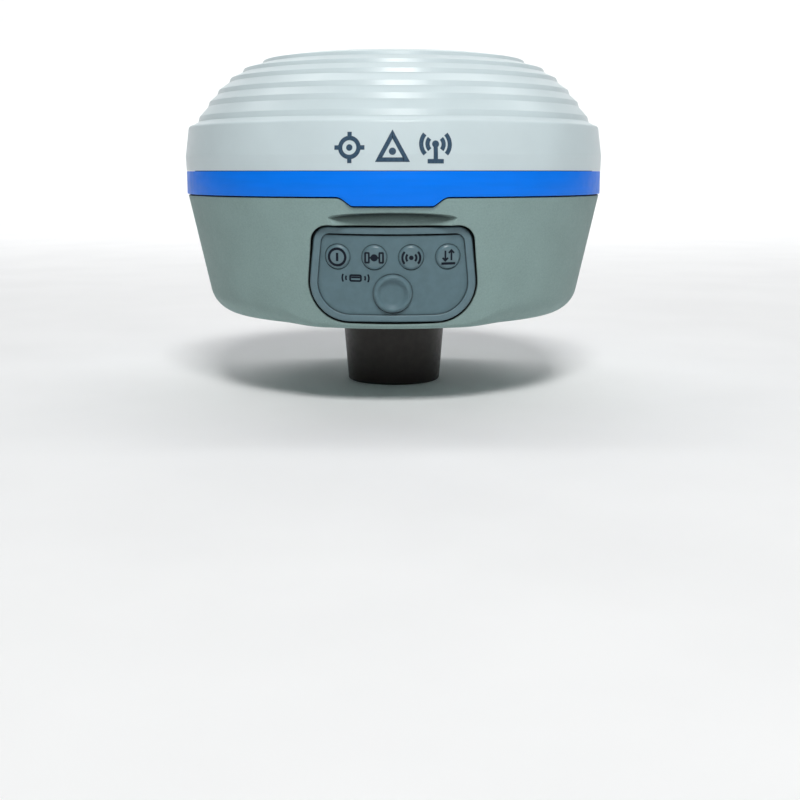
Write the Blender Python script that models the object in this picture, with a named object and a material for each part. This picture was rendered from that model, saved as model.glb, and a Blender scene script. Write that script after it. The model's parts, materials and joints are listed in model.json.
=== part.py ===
"""Hand-sized survey GNSS receiver, modelled in metres with +Z up.

The origin is the centre of the neck's lower face, where a survey pole meets the receiver. The keypad
faces -Y and the charging port faces +Y.
"""

import math

import bmesh
import bpy
from mathutils import Matrix, Vector

MM = 0.001
GAP = 0.3 * MM  # clearance between pieces that touch
OUTSIDE = -12.0 * MM  # a depth that is clear of the wall, for cutters
SEGMENTS = 48  # sides of the large turned shells
ROUND = 16  # sides of the small turned pieces

# Overall stack, along Z
NECK_HEIGHT = 22.7 * MM
HOUSING_BOTTOM = NECK_HEIGHT + GAP
BAND_TOP = HOUSING_BOTTOM + 43.5 * MM
TRIM_HEIGHT = 6.85 * MM
CROWN_HEIGHT = 35.2 * MM  # above the trim ring

# Radome
BODY_RADIUS = 65.0 * MM
BAND_FOOT_RADIUS = BODY_RADIUS - 0.15 * MM
BAND_FULL_HEIGHT = 4.5 * MM  # where the white band is widest, above the trim ring
BAND_LIP_RADIUS = 63.9 * MM
BAND_LIP_HEIGHT = 12.2 * MM
SHOULDER_RADIUS = 62.5 * MM
SHOULDER_HEIGHT = 13.7 * MM
DOME_RADIUS = 63.11 * MM
DOME_FOOT = 12.27 * MM
DOME_POWER = 5.7
DOME_ROUNDNESS = 1.19
RADOME_WALL = 2.3 * MM
RADOME_THINNING = 0.4 * MM  # how far the inner curve lies below the outer one's offset
TERRACE_RADII = [radius * MM for radius in (40.5, 46.6, 50.7, 54.4, 57.3, 60.4)]
TERRACE_STEP = 1.1 * MM
TERRACE_RUN = 0.5 * MM  # width of each riser
CROWN_RADII = (28.0 * MM, 14.0 * MM)
DOME_INNER_RADII = [radius * MM for radius in (30.0, 44.0, 52.0, 57.5, 59.8)]
FLANGE_BOTTOM = BAND_TOP + 1.6 * MM
FLANGE_TOP = BAND_TOP + 4.0 * MM
EAR_WIDTH = 8.0 * MM
EAR_INSET = 0.1 * MM  # keeps the ears' faces off the flange's

# Trim ring, and the tab that it drops over the keypad
TRIM_RADIUS = 64.8 * MM
TRIM_WALL = 1.9 * MM
TAB_HALF_TOP = 14.4 * MM
TAB_HALF_BOTTOM = 11.5 * MM
TAB_DROP = 2.6 * MM

# Lower housing
HOUSING_TOP_RADIUS = 64.48 * MM
HOUSING_TOP = BAND_TOP - TRIM_HEIGHT - GAP
TAPER = math.radians(12.2)
HOUSING_WALL = 2.4 * MM
FLOOR = 2.6 * MM
CORNER_RADIUS = 9.0 * MM
INNER_CORNER_RADIUS = 6.0 * MM
FRONT_CORNER_RADIUS = 2.0 * MM
FRONT_CORNER_HALF = 20.0 * MM  # half-width of the tighter lower corner below the keypad
FRONT_CORNER_END = 36.0 * MM
SPIGOT_RADIUS = TRIM_RADIUS - TRIM_WALL - GAP
SPIGOT_WALL = 2.4 * MM
SPIGOT_TOP = BAND_TOP - 0.6 * MM
WALL_KNEE = HOUSING_TOP - 3.2 * MM  # where the inner wall turns in towards the spigot

# Closing screws and the posts that they run through
POST_RING = 47.0 * MM
POST_RADIUS = 4.0 * MM
POST_TOP = 60.4 * MM
SCREW_SHANK = 1.4 * MM
SCREW_HEAD = 2.8 * MM
SCREW_HEAD_HEIGHT = 2.2 * MM
COUNTERBORE_DEPTH = 2.8 * MM
SCREW_TIP = BAND_TOP + 2.0 * MM

# Underside fittings
SPEAKER_PLACE = (-12.0 * MM, -29.0 * MM)
SPEAKER_RADIUS = 7.5 * MM
SPEAKER_RIM = 2.4 * MM
SPEAKER_BACK_RADIUS = 5.0 * MM
SPEAKER_HEIGHT = 4.0 * MM
SOUND_HOLE = 0.6 * MM
SOUND_RING = 2.6 * MM
SOUND_START = 83  # degrees
VENT_PLACE = (27.0 * MM, -7.0 * MM)
VENT_CAP = 4.0 * MM
VENT_FACE = 3.6 * MM
VENT_STEM = 2.6 * MM
VENT_HOLE = 3.0 * MM
LABEL_SIZE = (20.0 * MM, 11.0 * MM, 0.2 * MM)
LABEL_CORNER = 1.5 * MM
LABEL_PLACE = (0, 30.0 * MM, HOUSING_BOTTOM - 0.4 * MM)

# Neck and its thread insert
NECK_TOP_RADIUS = 16.5 * MM
NECK_BOTTOM_RADIUS = 14.7 * MM
NECK_CHAMFER = 1.0 * MM
INSERT_RADIUS = 10.0 * MM
INSERT_BORE = 7.1 * MM
INSERT_BOTTOM = 0.2 * MM
INSERT_LEAD_IN = 0.8 * MM
INSERT_TOP = 18.5 * MM
INSERT_BORE_TOP = 16.8 * MM
NECK_SCREW_RING = 13.1 * MM
NECK_PILOT = 1.1 * MM
NECK_PILOT_BOTTOM = 12.0 * MM
NECK_SCREW = (2.2 * MM, 1.6 * MM, 0.8 * MM)  # head radius, head height, shank radius
NECK_SCREW_TIP = 13.0 * MM

# Keypad, in its own tilted frame: x across, z up, y inwards
KEYPAD_TILT = math.radians(7.6)
KEYPAD_CENTRE = Vector((0, -58.61 * MM, 38.6 * MM))
KEYPAD_CURVE = 90.0 * MM
KEYPAD_HIGH = 13.2 * MM
KEYPAD_LOW = -13.95 * MM
KEYPAD_HALF_TOP = 21.9 * MM
KEYPAD_HALF_BOTTOM = 24.3 * MM
KEYPAD_TOP_CORNER = 4.5 * MM
KEYPAD_BOTTOM_CORNER = 11.0 * MM
BORDER_ENDS = 2.2 * MM  # width of the border along its top and bottom
BORDER_SIDES = 2.4 * MM
FIELD_TOP_CORNER = 2.6 * MM
FIELD_BOTTOM_CORNER = 8.9 * MM
POCKET_DEPTH = 2.0 * MM
TRAY_DEPTH = 8.0 * MM
TRAY_RIM = 2.4 * MM
WINDOW_CORNERS = [(17.4 * MM, 9.4 * MM, 2.0 * MM), (18.0 * MM, -12.1 * MM, 7.0 * MM)]
BROW_HALF_WIDTH = 18.8 * MM
BROW_DEPTH = -0.35 * MM
BROW_OVERLAP = 1.5 * MM  # how far the scoop runs on into the keypad's pocket
BROW_ENDS = 2.4 * MM
BROW_BOW = 1.9 * MM
BROW_STEPS = 8
MEMBRANE_DEPTH = 0.5 * MM
LENS_RADIUS = 3.5 * MM
LENS_ROW = 4.55 * MM
LENS_PITCH = 10.2 * MM
LENS_COUNT = 4
GUIDE_RADIUS = 1.8 * MM
GUIDE_END = 5.2 * MM
BUTTON_RADIUS = 5.5 * MM
BUTTON_ROW = -5.65 * MM
BUTTON_FLANGE = 6.05 * MM
BUTTON_STEM_END = 5.0 * MM
PLUNGER_RADIUS = 1.5 * MM
PLUNGER_DEPTH = 5.3 * MM
PLUNGER_LENGTH = 1.5 * MM
SWITCH_SIDE = 6.2 * MM
SWITCH_FRONT = 5.8 * MM
SWITCH_BORE_END = 7.7 * MM
KEYPAD_BOARD_SIZE = (42.0 * MM, 1.2 * MM, 19.0 * MM)
KEYPAD_BOARD_DROP = -0.5 * MM
LED_SIZE = (2.0 * MM, 0.9 * MM, 1.6 * MM)
COIL_PLACE = (-10.5 * MM, -5.0 * MM)
COIL_OUTER = (5.0 * MM, 4.2 * MM, 1.5 * MM)  # half width, half height, corner radius
COIL_INNER = (3.8 * MM, 3.0 * MM, 0.7 * MM)
COIL_THICKNESS = 0.4 * MM
FLAT = 10.0  # radius of curvature of something that is flat, in metres
RIBBON_WIDTH = 9.0 * MM
RIBBON_THICKNESS = 0.3 * MM
RIBBON_PATH = [(-47.9, 43.5), (-47.4, 47.0), (-45.6, 50.2), (-42.6, 52.2), (-39.4, 52.8), (-36.6, 52.8)]

# Rear port, in its own tilted frame: x across, z up, y inwards
PORT_HEIGHT = 40.0 * MM
PORT_CURVE = 61.7 * MM
PORT_HALF_WIDTH = 13.2 * MM
PORT_HALF_HEIGHT = 7.0 * MM
PORT_POCKET_DEPTH = 4.8 * MM
DOOR_RECESS = 0.2 * MM
DOOR_WALL = 1.8 * MM
HINGE_X = -12.4 * MM
HINGE_DEPTH = 2.76 * MM
HINGE_BARREL = 1.5 * MM
HINGE_PIN = 0.6 * MM
HINGE_CLEARANCE = 2.1 * MM
HINGE_PIN_END = PORT_HALF_HEIGHT + 1.7 * MM
HINGE_HOLE_END = PORT_HALF_HEIGHT + 2.0 * MM
PORT_CORNER = 0.8 * MM
PORT_TRAY_SIDE = 3.4 * MM
PORT_TRAY_END = 2.6 * MM
PORT_TRAY_CORNER = 2.5 * MM
DOOR_CORNER = 2.0 * MM
HINGE_CORNER = 0.05 * MM
GRIP_SIZE = (1.6 * MM, 1.4 * MM, 6.0 * MM)
SEAL_WIDTH = 11.0 * MM
SEAL_HEIGHT = 5.4 * MM
USB_SIZE = Vector((9.0, 7.2, 3.3)) * MM
USB_WALL = Vector((0.7, 1.6, 0.7)) * MM  # mouth's total shortfall from the shell

# Inner frame, boards and battery
FRAME_RADIUS = 41.0 * MM
FRAME_BOTTOM = 47.0 * MM
FRAME_TOP = 48.8 * MM
FRAME_SCREW_RING = 38.0 * MM
FRAME_POST = 2.7 * MM
FRAME_PILOT = 1.5 * MM
FRAME_PILOT_LENGTH = 7.0 * MM
FRAME_WINDOW = (30.0 * MM, 22.0 * MM, 8.0 * MM)
FRAME_SCREW = (2.2 * MM, 1.4 * MM, 1.0 * MM)
FRAME_SCREW_LENGTH = 6.0 * MM
BOARD_POST = 3.0 * MM
SPACER_RING = 32.0 * MM
SPACER_RADIUS = 2.2 * MM
BOARD_RADIUS = 36.0 * MM
BOARD_BOTTOM = 52.0 * MM
BOARD_TOP = 53.6 * MM
PLANE_RADIUS = 54.0 * MM
PLANE_BOTTOM = 72.4 * MM
PLANE_TOP = 74.0 * MM
CELL_RADIUS = 9.2 * MM
CELL_LENGTH = 65.0 * MM
CELL_OFFSET = 9.8 * MM
CELL_HEIGHT = 36.6 * MM
CELL_EDGE = 0.5 * MM
CELL_CRIMP = 0.8 * MM
CELL_TERMINAL = 3.0 * MM
HOLDER_SIZE = (69.0 * MM, 42.0 * MM)
HOLDER_MARGIN = 2.0 * MM
MODULES = (  # name, size and place in millimetres, finish
    ("gnss_module", (26, 22, 3.2), (-12, 8), "tinned_steel"),
    ("radio_module", (22, 16, 4.0), (13, -8), "tinned_steel"),
    ("tilt_sensor", (8, 8, 2.0), (0, -22), "black_plastic"),
)
MODULE_CORNER = 0.8 * MM
LOWER_PATCH = (58.0 * MM, 58.0 * MM, 7.0 * MM)
UPPER_PATCH = (42.0 * MM, 42.0 * MM, 6.0 * MM)
LOWER_PATCH_CORNER = 6.0 * MM
UPPER_PATCH_CORNER = 4.0 * MM
COAX_RADIUS = 0.9 * MM
COAX_ROUTE = [(8, 24, 53.9), (8, 24, 56.5), (9.5, 25.5, 60.5), (13, 24, 65), (14, 20, 69), (14, 19, 72.1)]

MATERIALS = {  # name: (linear colour, roughness, metallic)
    "radome_plastic": ((0.73, 0.86, 0.90), 0.32, 0.0),
    "trim_plastic": ((0.0, 0.17, 0.83), 0.35, 0.0),
    "housing_plastic": ((0.17, 0.24, 0.23), 0.65, 0.0),
    "keypad_plastic": ((0.13, 0.20, 0.23), 0.5, 0.0),
    "keypad_rubber": ((0.09, 0.15, 0.17), 0.55, 0.0),
    "lens_plastic": ((0.12, 0.19, 0.21), 0.4, 0.0),
    "neck_plastic": ((0.022, 0.016, 0.014), 0.45, 0.0),
    "brass": ((0.72, 0.50, 0.22), 0.35, 1.0),
    "steel": ((0.55, 0.55, 0.56), 0.35, 1.0),
    "black_rubber": ((0.015, 0.015, 0.016), 0.8, 0.0),
    "circuit_board": ((0.01, 0.12, 0.05), 0.5, 0.0),
    "black_plastic": ((0.02, 0.02, 0.022), 0.5, 0.0),
    "tinned_steel": ((0.62, 0.63, 0.65), 0.3, 1.0),
    "ceramic": ((0.55, 0.50, 0.42), 0.6, 0.0),
    "cell_wrap": ((0.02, 0.10, 0.22), 0.4, 0.0),
    "copper": ((0.72, 0.32, 0.18), 0.35, 1.0),
    "polyimide": ((0.55, 0.26, 0.03), 0.35, 0.0),
    "led_epoxy": ((0.75, 0.74, 0.65), 0.3, 0.0),
    "label_film": ((0.50, 0.52, 0.53), 0.4, 0.0),
}


def clear_scene():
    """Start from an empty scene."""
    for obj in list(bpy.data.objects):
        bpy.data.objects.remove(obj, do_unlink=True)


def material(name):
    """The Principled material of this name, made on first use."""
    found = bpy.data.materials.get(name)
    if found:
        return found
    colour, roughness, metallic = MATERIALS[name]
    made = bpy.data.materials.new(name)
    made.use_nodes = True
    shader = made.node_tree.nodes["Principled BSDF"]
    shader.inputs["Base Color"].default_value = (*colour, 1.0)
    shader.inputs["Roughness"].default_value = roughness
    shader.inputs["Metallic"].default_value = metallic
    made.diffuse_color = (*colour, 1.0)
    return made


def add_object(name, mesh_data, finish=None):
    """Link an object; without a finish it is a cutter that shapes other pieces."""
    obj = bpy.data.objects.new(name, mesh_data)
    bpy.context.scene.collection.objects.link(obj)
    if finish:
        mesh_data.materials.append(material(finish))
    else:
        obj.hide_render = True
        obj.display_type = "WIRE"
    return obj


def mesh_object(name, bm, finish=None):
    """Turn a closed bmesh into an object with its faces pointing out and its round sides smooth."""
    bmesh.ops.recalc_face_normals(bm, faces=bm.faces)
    mesh = bpy.data.meshes.new(name)
    bm.to_mesh(mesh)
    bm.free()
    mesh.shade_smooth()
    mesh.set_sharp_from_angle(angle=math.radians(35))
    return add_object(name, mesh, finish)


def place(obj, parent, location=(0, 0, 0), rotation=(0, 0, 0)):
    """Put an object in its parent's frame."""
    obj.parent = parent
    obj.location = location
    obj.rotation_euler = rotation
    return obj


def frame_at(name, location, rotation):
    """An empty that carries the pieces of one local frame."""
    empty = bpy.data.objects.new(name, None)
    bpy.context.scene.collection.objects.link(empty)
    return place(empty, None, location, rotation)


def combine(obj, other, operation="DIFFERENCE"):
    """Cut, join or intersect an object with another by an exact Boolean."""
    modifier = obj.modifiers.new(f"{operation.lower()} {other.name}", "BOOLEAN")
    modifier.operation = operation
    modifier.solver = "EXACT"
    modifier.object = other
    return obj


def even_angles(count):
    """Angles spread evenly round a turn."""
    return [math.tau * step / count for step in range(count)]


def turned(name, outline, finish=None, angles=None, outwards=False):
    """Turn a closed (radius, height) outline round Z; an outline that is a function gets each angle.

    Points at radius 0 are poles. With outwards set, the height runs along -Y instead of +Z.
    """
    bm = bmesh.new()
    turn_outline(bm, outline, angles or even_angles(ROUND))
    if outwards:
        bmesh.ops.rotate(bm, matrix=Matrix.Rotation(math.pi / 2, 3, "X"), verts=bm.verts)
    return mesh_object(name, bm, finish)


def drill(name, places, outline, sides=12):
    """One cutter that repeats a turned outline at several (x, y) places."""
    bm = bmesh.new()
    for x, y in places:
        before = len(bm.verts)
        turn_outline(bm, outline, even_angles(sides))
        bm.verts.ensure_lookup_table()
        bmesh.ops.translate(bm, vec=(x, y, 0), verts=bm.verts[before:])
    return mesh_object(name, bm)


def turn_outline(bm, outline, angles):
    """Add the faces of a turned outline to a bmesh."""
    profiles = [outline(angle) if callable(outline) else outline for angle in angles]
    rings = []
    for points in zip(*profiles):
        if points[0][0] == 0:
            rings.append(float(points[0][1]))
            continue
        spots = [(r * math.cos(a), r * math.sin(a), height) for a, (r, height) in zip(angles, points)]
        rings.append([bm.verts.new(spot) for spot in spots])
    for one, other in zip(rings, rings[1:] + rings[:1]):
        if isinstance(one, float) or isinstance(other, float):
            close_pole(bm, one, other)
        else:
            join_loops(bm, one, other)


def close_pole(bm, one, other):
    """Close a ring at its pole, given as a height: one flat face, or a cone of triangles."""
    ring, height = (other, one) if isinstance(one, float) else (one, other)
    if isinstance(ring, float):
        return
    if abs(ring[0].co.z - height) < 0.001 * MM:
        bm.faces.new(ring)
        return
    hub = bm.verts.new((0, 0, height))
    for first, second in zip(ring, ring[1:] + ring[:1]):
        bm.faces.new((first, second, hub))


def rod(radius, low, high):
    """Outline of a plain solid cylinder."""
    return [(0.0, low), (radius, low), (radius, high), (0.0, high)]


def disc(name, radius, low, high, finish=None, sides=ROUND, outwards=False):
    """A plain turned disc or cylinder."""
    return turned(name, rod(radius, low, high), finish, even_angles(sides), outwards)


def block(name, size, centre, finish=None, chamfer=0.0):
    """A box, with its vertical edges chamfered if asked."""
    bm = bmesh.new()
    bmesh.ops.create_cube(bm, size=1)
    bmesh.ops.scale(bm, vec=size, verts=bm.verts)
    bmesh.ops.translate(bm, vec=centre, verts=bm.verts)
    if chamfer:
        upright = [e for e in bm.edges if abs(e.verts[0].co.z - e.verts[1].co.z) > size[2] / 2]
        bmesh.ops.bevel(bm, geom=upright, offset=chamfer, segments=2, profile=0.5, affect="EDGES")
    return mesh_object(name, bm, finish)


def corner_arc(before, corner, after, radius, steps):
    """Points on the arc that rounds one corner of a polygon."""
    back = (Vector(before) - corner).normalized()
    ahead = (Vector(after) - corner).normalized()
    half_angle = back.angle(ahead) / 2
    centre = corner + (back + ahead).normalized() * radius / math.sin(half_angle)
    reach = radius / math.tan(half_angle)
    start = corner + back * reach - centre
    turn = start.angle_signed(corner + ahead * reach - centre)
    return [centre + Matrix.Rotation(-turn * step / steps, 2) @ start for step in range(steps + 1)]


def rounded_outline(corners, steps=5, straight=1):
    """Points round a polygon whose corners, (x, z, radius), are arcs; each side has straight parts."""
    arcs = []
    befores = corners[-1:] + corners[:-1]
    afters = corners[1:] + corners[:1]
    for before, (x, z, radius), after in zip(befores, corners, afters):
        arcs.append(corner_arc(before[:2], Vector((x, z)), after[:2], radius, steps))
    points = []
    for arc, following in zip(arcs, arcs[1:] + arcs[:1]):
        points += arc
        points += [arc[-1].lerp(following[0], step / straight) for step in range(1, straight)]
    return points


def rounded_rectangle(half_width, half_height, radius, middle=(0.0, 0.0), steps=4):
    """A rectangle's outline with four equal round corners."""
    signs = [(1, 1), (1, -1), (-1, -1), (-1, 1)]
    corners = [(middle[0] + x * half_width, middle[1] + z * half_height, radius) for x, z in signs]
    return rounded_outline(corners, steps)


def sag(x, curve):
    """How far a cylinder of this radius falls back at x from its front line."""
    return curve - math.sqrt(curve * curve - x * x)


def curved_slab(name, outline, front, back, curve, finish=None, flat_front=False, rings=3):
    """A plate between two depths behind a curved surface; its front may be flat instead."""
    bm = bmesh.new()
    middle = sum(outline, Vector((0, 0))) / len(outline)

    def sheet(depth, flat):
        def spot(point):
            return bm.verts.new((point.x, depth + (0 if flat else sag(point.x, curve)), point.y))

        shares = [1 - ring / rings for ring in range(rings)]
        loops = [[spot(middle + (point - middle) * share) for point in outline] for share in shares]
        hub = spot(middle)
        for outer, inner in zip(loops, loops[1:]):
            join_loops(bm, outer, inner)
        for first, second in zip(loops[-1], loops[-1][1:] + loops[-1][:1]):
            bm.faces.new((first, second, hub))
        return loops[0]

    join_loops(bm, sheet(front, flat_front), sheet(back, False))
    return mesh_object(name, bm, finish)


def straight_slab(name, outline, front, back):
    """A flat-ended plate between two depths."""
    bm = bmesh.new()
    ends = [[bm.verts.new((point.x, depth, point.y)) for point in outline] for depth in (front, back)]
    join_loops(bm, *ends)
    for end in ends:
        bm.faces.new(end)
    return mesh_object(name, bm)


def join_loops(bm, one, other):
    """Faces between two loops of the same number of vertices."""
    for a, b, c, d in zip(one, one[1:] + one[:1], other[1:] + other[:1], other):
        bm.faces.new((a, b, c, d))


def curved_border(name, outer, inner, front, back, curve, finish):
    """A frame between two outlines, its faces following a curved surface."""
    bm = bmesh.new()
    loops = []
    for outline, depth in ((outer, front), (inner, front), (inner, back), (outer, back)):
        loops.append([bm.verts.new((p.x, depth + sag(p.x, curve), p.y)) for p in outline])
    for one, other in zip(loops, loops[1:] + loops[:1]):
        join_loops(bm, one, other)
    return mesh_object(name, bm, finish)


def tube(name, points, radius, finish):
    """A round lead through the given points, smoothed by a Catmull-Rom curve."""
    curve = bpy.data.curves.new(name, "CURVE")
    curve.dimensions = "3D"
    curve.bevel_depth = radius
    curve.bevel_resolution = 2
    curve.use_fill_caps = True
    path = smooth_path([Vector(point) for point in points])
    spline = curve.splines.new("POLY")
    spline.points.add(len(path) - 1)
    for target, point in zip(spline.points, path):
        target.co = (*point, 1)
    return add_object(name, curve, finish)


def smooth_path(points, steps=4):
    """Catmull-Rom points through a few chosen ones."""
    ends = [2 * points[0] - points[1], *points, 2 * points[-1] - points[-2]]
    path = []
    for a, b, c, d in zip(ends, ends[1:], ends[2:], ends[3:]):
        for step in range(steps):
            t = step / steps
            turn = (2 * b) + (c - a) * t + (2 * a - 5 * b + 4 * c - d) * t**2 + (3 * b - a - 3 * c + d) * t**3
            path.append(turn / 2)
    return [*path, points[-1]]


def strip(name, path, width, thickness, finish):
    """A flat flexible strip whose side view follows (y, z) points."""
    bm = bmesh.new()
    loops = []
    for index, point in enumerate(path):
        ahead = path[min(index + 1, len(path) - 1)]
        behind = path[max(index - 1, 0)]
        along = Vector((ahead[0] - behind[0], ahead[1] - behind[1])).normalized()
        across = Vector((-along.y, along.x)) * thickness / 2
        loop = []
        for side, face in ((-1, -1), (1, -1), (1, 1), (-1, 1)):
            spot = (side * width / 2, point[0] + face * across.x, point[1] + face * across.y)
            loop.append(bm.verts.new(spot))
        loops.append(loop)
    for one, other in zip(loops, loops[1:]):
        join_loops(bm, one, other)
    bm.faces.new(loops[0])
    bm.faces.new(loops[-1])
    return mesh_object(name, bm, finish)


def on_ring(radius, count, start):
    """(x, y) places round a circle, from a start angle in degrees."""
    angles = [math.radians(start) + math.tau * index / count for index in range(count)]
    return [(radius * math.cos(angle), radius * math.sin(angle)) for angle in angles]


POST_PLACES = on_ring(POST_RING, 4, 45)
FRAME_SCREW_PLACES = on_ring(FRAME_SCREW_RING, 4, 4)
SPACER_PLACES = on_ring(SPACER_RING, 4, 45)
NECK_SCREW_PLACES = on_ring(NECK_SCREW_RING, 4, 20)


# Radome ---------------------------------------------------------------------------------------


def dome_height(radius, inset=0.0):
    """Height of the dome's smooth base curve above its foot line, which the terraces step along."""
    share = min(radius / (DOME_RADIUS - inset), 1.0)
    rise = (CROWN_HEIGHT - DOME_FOOT - inset) * (1 - share**DOME_POWER) ** DOME_ROUNDNESS
    return BAND_TOP + DOME_FOOT + rise


def radome_outline():
    """Outer and inner profile of the radome, from the rim up and back down inside."""
    outer = [(BAND_FOOT_RADIUS, BAND_TOP + GAP), (BODY_RADIUS, BAND_TOP + BAND_FULL_HEIGHT)]
    run = BAND_LIP_RADIUS - SHOULDER_RADIUS
    rise = SHOULDER_HEIGHT - BAND_LIP_HEIGHT
    for turn in (math.radians(angle) for angle in (0, 30, 60, 90)):
        lip = BAND_TOP + BAND_LIP_HEIGHT + rise * math.sin(turn)
        outer.append((SHOULDER_RADIUS + run * math.cos(turn), lip))
    for radius in reversed(TERRACE_RADII):
        foot = radius + TERRACE_RUN
        outer.append((foot, dome_height(foot) - TERRACE_STEP / 2))
        outer.append((radius, dome_height(radius) + TERRACE_STEP / 3))
    outer += [(radius, dome_height(radius)) for radius in CROWN_RADII]
    outer.append((0.0, dome_height(0)))
    inner = [(0.0, dome_height(0, RADOME_WALL))]
    for radius in DOME_INNER_RADII:
        inner.append((radius, dome_height(radius, RADOME_WALL) - RADOME_THINNING))
    flange = SPIGOT_RADIUS - SPIGOT_WALL - GAP
    inner += [
        (SPIGOT_RADIUS - MM, BAND_TOP + SHOULDER_HEIGHT - 3.2 * MM),
        (SPIGOT_RADIUS, BAND_TOP + 5.4 * MM),
        (flange, FLANGE_TOP),
        (flange, FLANGE_BOTTOM),
        (SPIGOT_RADIUS + GAP, FLANGE_BOTTOM),
        (SPIGOT_RADIUS + GAP, BAND_TOP + GAP),
    ]
    return outer + inner


def make_radome():
    """White radome with four screw ears on its inner flange."""
    radome = turned("radome_cover", radome_outline(), "radome_plastic", even_angles(SEGMENTS))
    ear_low = POST_TOP + GAP
    ear_high = FLANGE_TOP - EAR_INSET
    inner_end = POST_RING - 3.6 * MM
    outer_end = SPIGOT_RADIUS - SPIGOT_WALL + MM
    seat_end = outer_end - 1.7 * MM
    for index, (x, y) in enumerate(POST_PLACES):
        turn = (0, 0, math.atan2(y, x))
        size = (seat_end - inner_end, EAR_WIDTH, ear_high - ear_low)
        middle = ((seat_end + inner_end) / 2, 0, (ear_low + ear_high) / 2)
        ear = place(block(f"ear_{index}", size, middle), None, rotation=turn)
        combine(radome, ear, "UNION")
        web_low = FLANGE_BOTTOM + 4 * EAR_INSET
        size = (outer_end - inner_end, EAR_WIDTH - EAR_INSET, ear_high - web_low - EAR_INSET)
        middle = ((outer_end + inner_end) / 2, 0, (ear_high + web_low) / 2)
        web = place(block(f"ear_web_{index}", size, middle), None, rotation=turn)
        combine(radome, web, "UNION")
    hole = rod(SCREW_SHANK + GAP, ear_low - MM, ear_high - MM)
    return combine(radome, drill("ear_holes", POST_PLACES, hole))


# Trim ring ------------------------------------------------------------------------------------


def tab_drop(angle):
    """How far the trim's lower edge drops at this angle, a trapezoid centred on -Y."""
    across = abs(TRIM_RADIUS * math.cos(angle))
    if math.sin(angle) > 0 or across >= TAB_HALF_TOP:
        return 0.0
    slope = (TAB_HALF_TOP - across) / (TAB_HALF_TOP - TAB_HALF_BOTTOM)
    return TAB_DROP * min(slope, 1.0)


def trim_angles():
    """Even angles, with the tab's four corners in place of those beside them."""
    corners = []
    for half in (TAB_HALF_TOP, TAB_HALF_BOTTOM):
        offset = math.asin(half / TRIM_RADIUS)
        corners += [1.5 * math.pi - offset, 1.5 * math.pi + offset]
    spacing = math.tau / SEGMENTS / 2
    kept = [a for a in even_angles(SEGMENTS) if all(abs(a - corner) > spacing for corner in corners)]
    return sorted(kept + corners)


def make_trim_ring():
    """Blue ring between the radome and the housing."""

    def outline(angle):
        low = BAND_TOP - TRIM_HEIGHT - tab_drop(angle)
        inner = TRIM_RADIUS - TRIM_WALL
        return [(inner, low), (TRIM_RADIUS, low), (TRIM_RADIUS, BAND_TOP), (inner, BAND_TOP)]

    return turned("trim_ring", outline, "trim_plastic", trim_angles())


def make_rim_seal():
    """Rubber gasket on top of the housing's spigot."""
    inner = SPIGOT_RADIUS - SPIGOT_WALL + GAP
    outer = SPIGOT_RADIUS - GAP
    low = SPIGOT_TOP + GAP
    high = FLANGE_BOTTOM - GAP
    outline = [(inner, low), (outer, low), (outer, high), (inner, high)]
    return turned("rim_seal", outline, "black_rubber", even_angles(SEGMENTS))


# Lower housing --------------------------------------------------------------------------------


def wall_radius(height):
    """Outer radius of the tapered wall."""
    return HOUSING_TOP_RADIUS - (HOUSING_TOP - height) * math.tan(TAPER)


def corner_radius(angle):
    """Radius of the lower corner, tighter below the keypad."""
    across = abs(wall_radius(HOUSING_BOTTOM) * math.cos(angle))
    if math.sin(angle) > 0:
        return CORNER_RADIUS
    share = (across - FRONT_CORNER_HALF) / (FRONT_CORNER_END - FRONT_CORNER_HALF)
    share = min(max(share, 0.0), 1.0)
    return FRONT_CORNER_RADIUS + (CORNER_RADIUS - FRONT_CORNER_RADIUS) * share


def lower_corner(radius, bottom, inset=0.0, steps=5):
    """Arc from the flat floor round to the tapered wall."""
    wall = wall_radius(bottom) - inset
    centre = wall + radius * math.tan(TAPER) - radius / math.cos(TAPER)
    start, end = -math.pi / 2, -TAPER
    turns = [start + (end - start) * step / steps for step in range(steps + 1)]
    return [(centre + radius * math.cos(turn), bottom + radius + radius * math.sin(turn)) for turn in turns]


def housing_outline(angle):
    """Solid outer form of the housing, with the spigot that carries the trim ring."""
    shoulder = HOUSING_TOP - tab_drop(angle)
    return [
        (0.0, HOUSING_BOTTOM),
        *lower_corner(corner_radius(angle), HOUSING_BOTTOM),
        (wall_radius(shoulder), shoulder),
        (SPIGOT_RADIUS, shoulder),
        (SPIGOT_RADIUS, SPIGOT_TOP),
        (0.0, SPIGOT_TOP),
    ]


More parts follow.
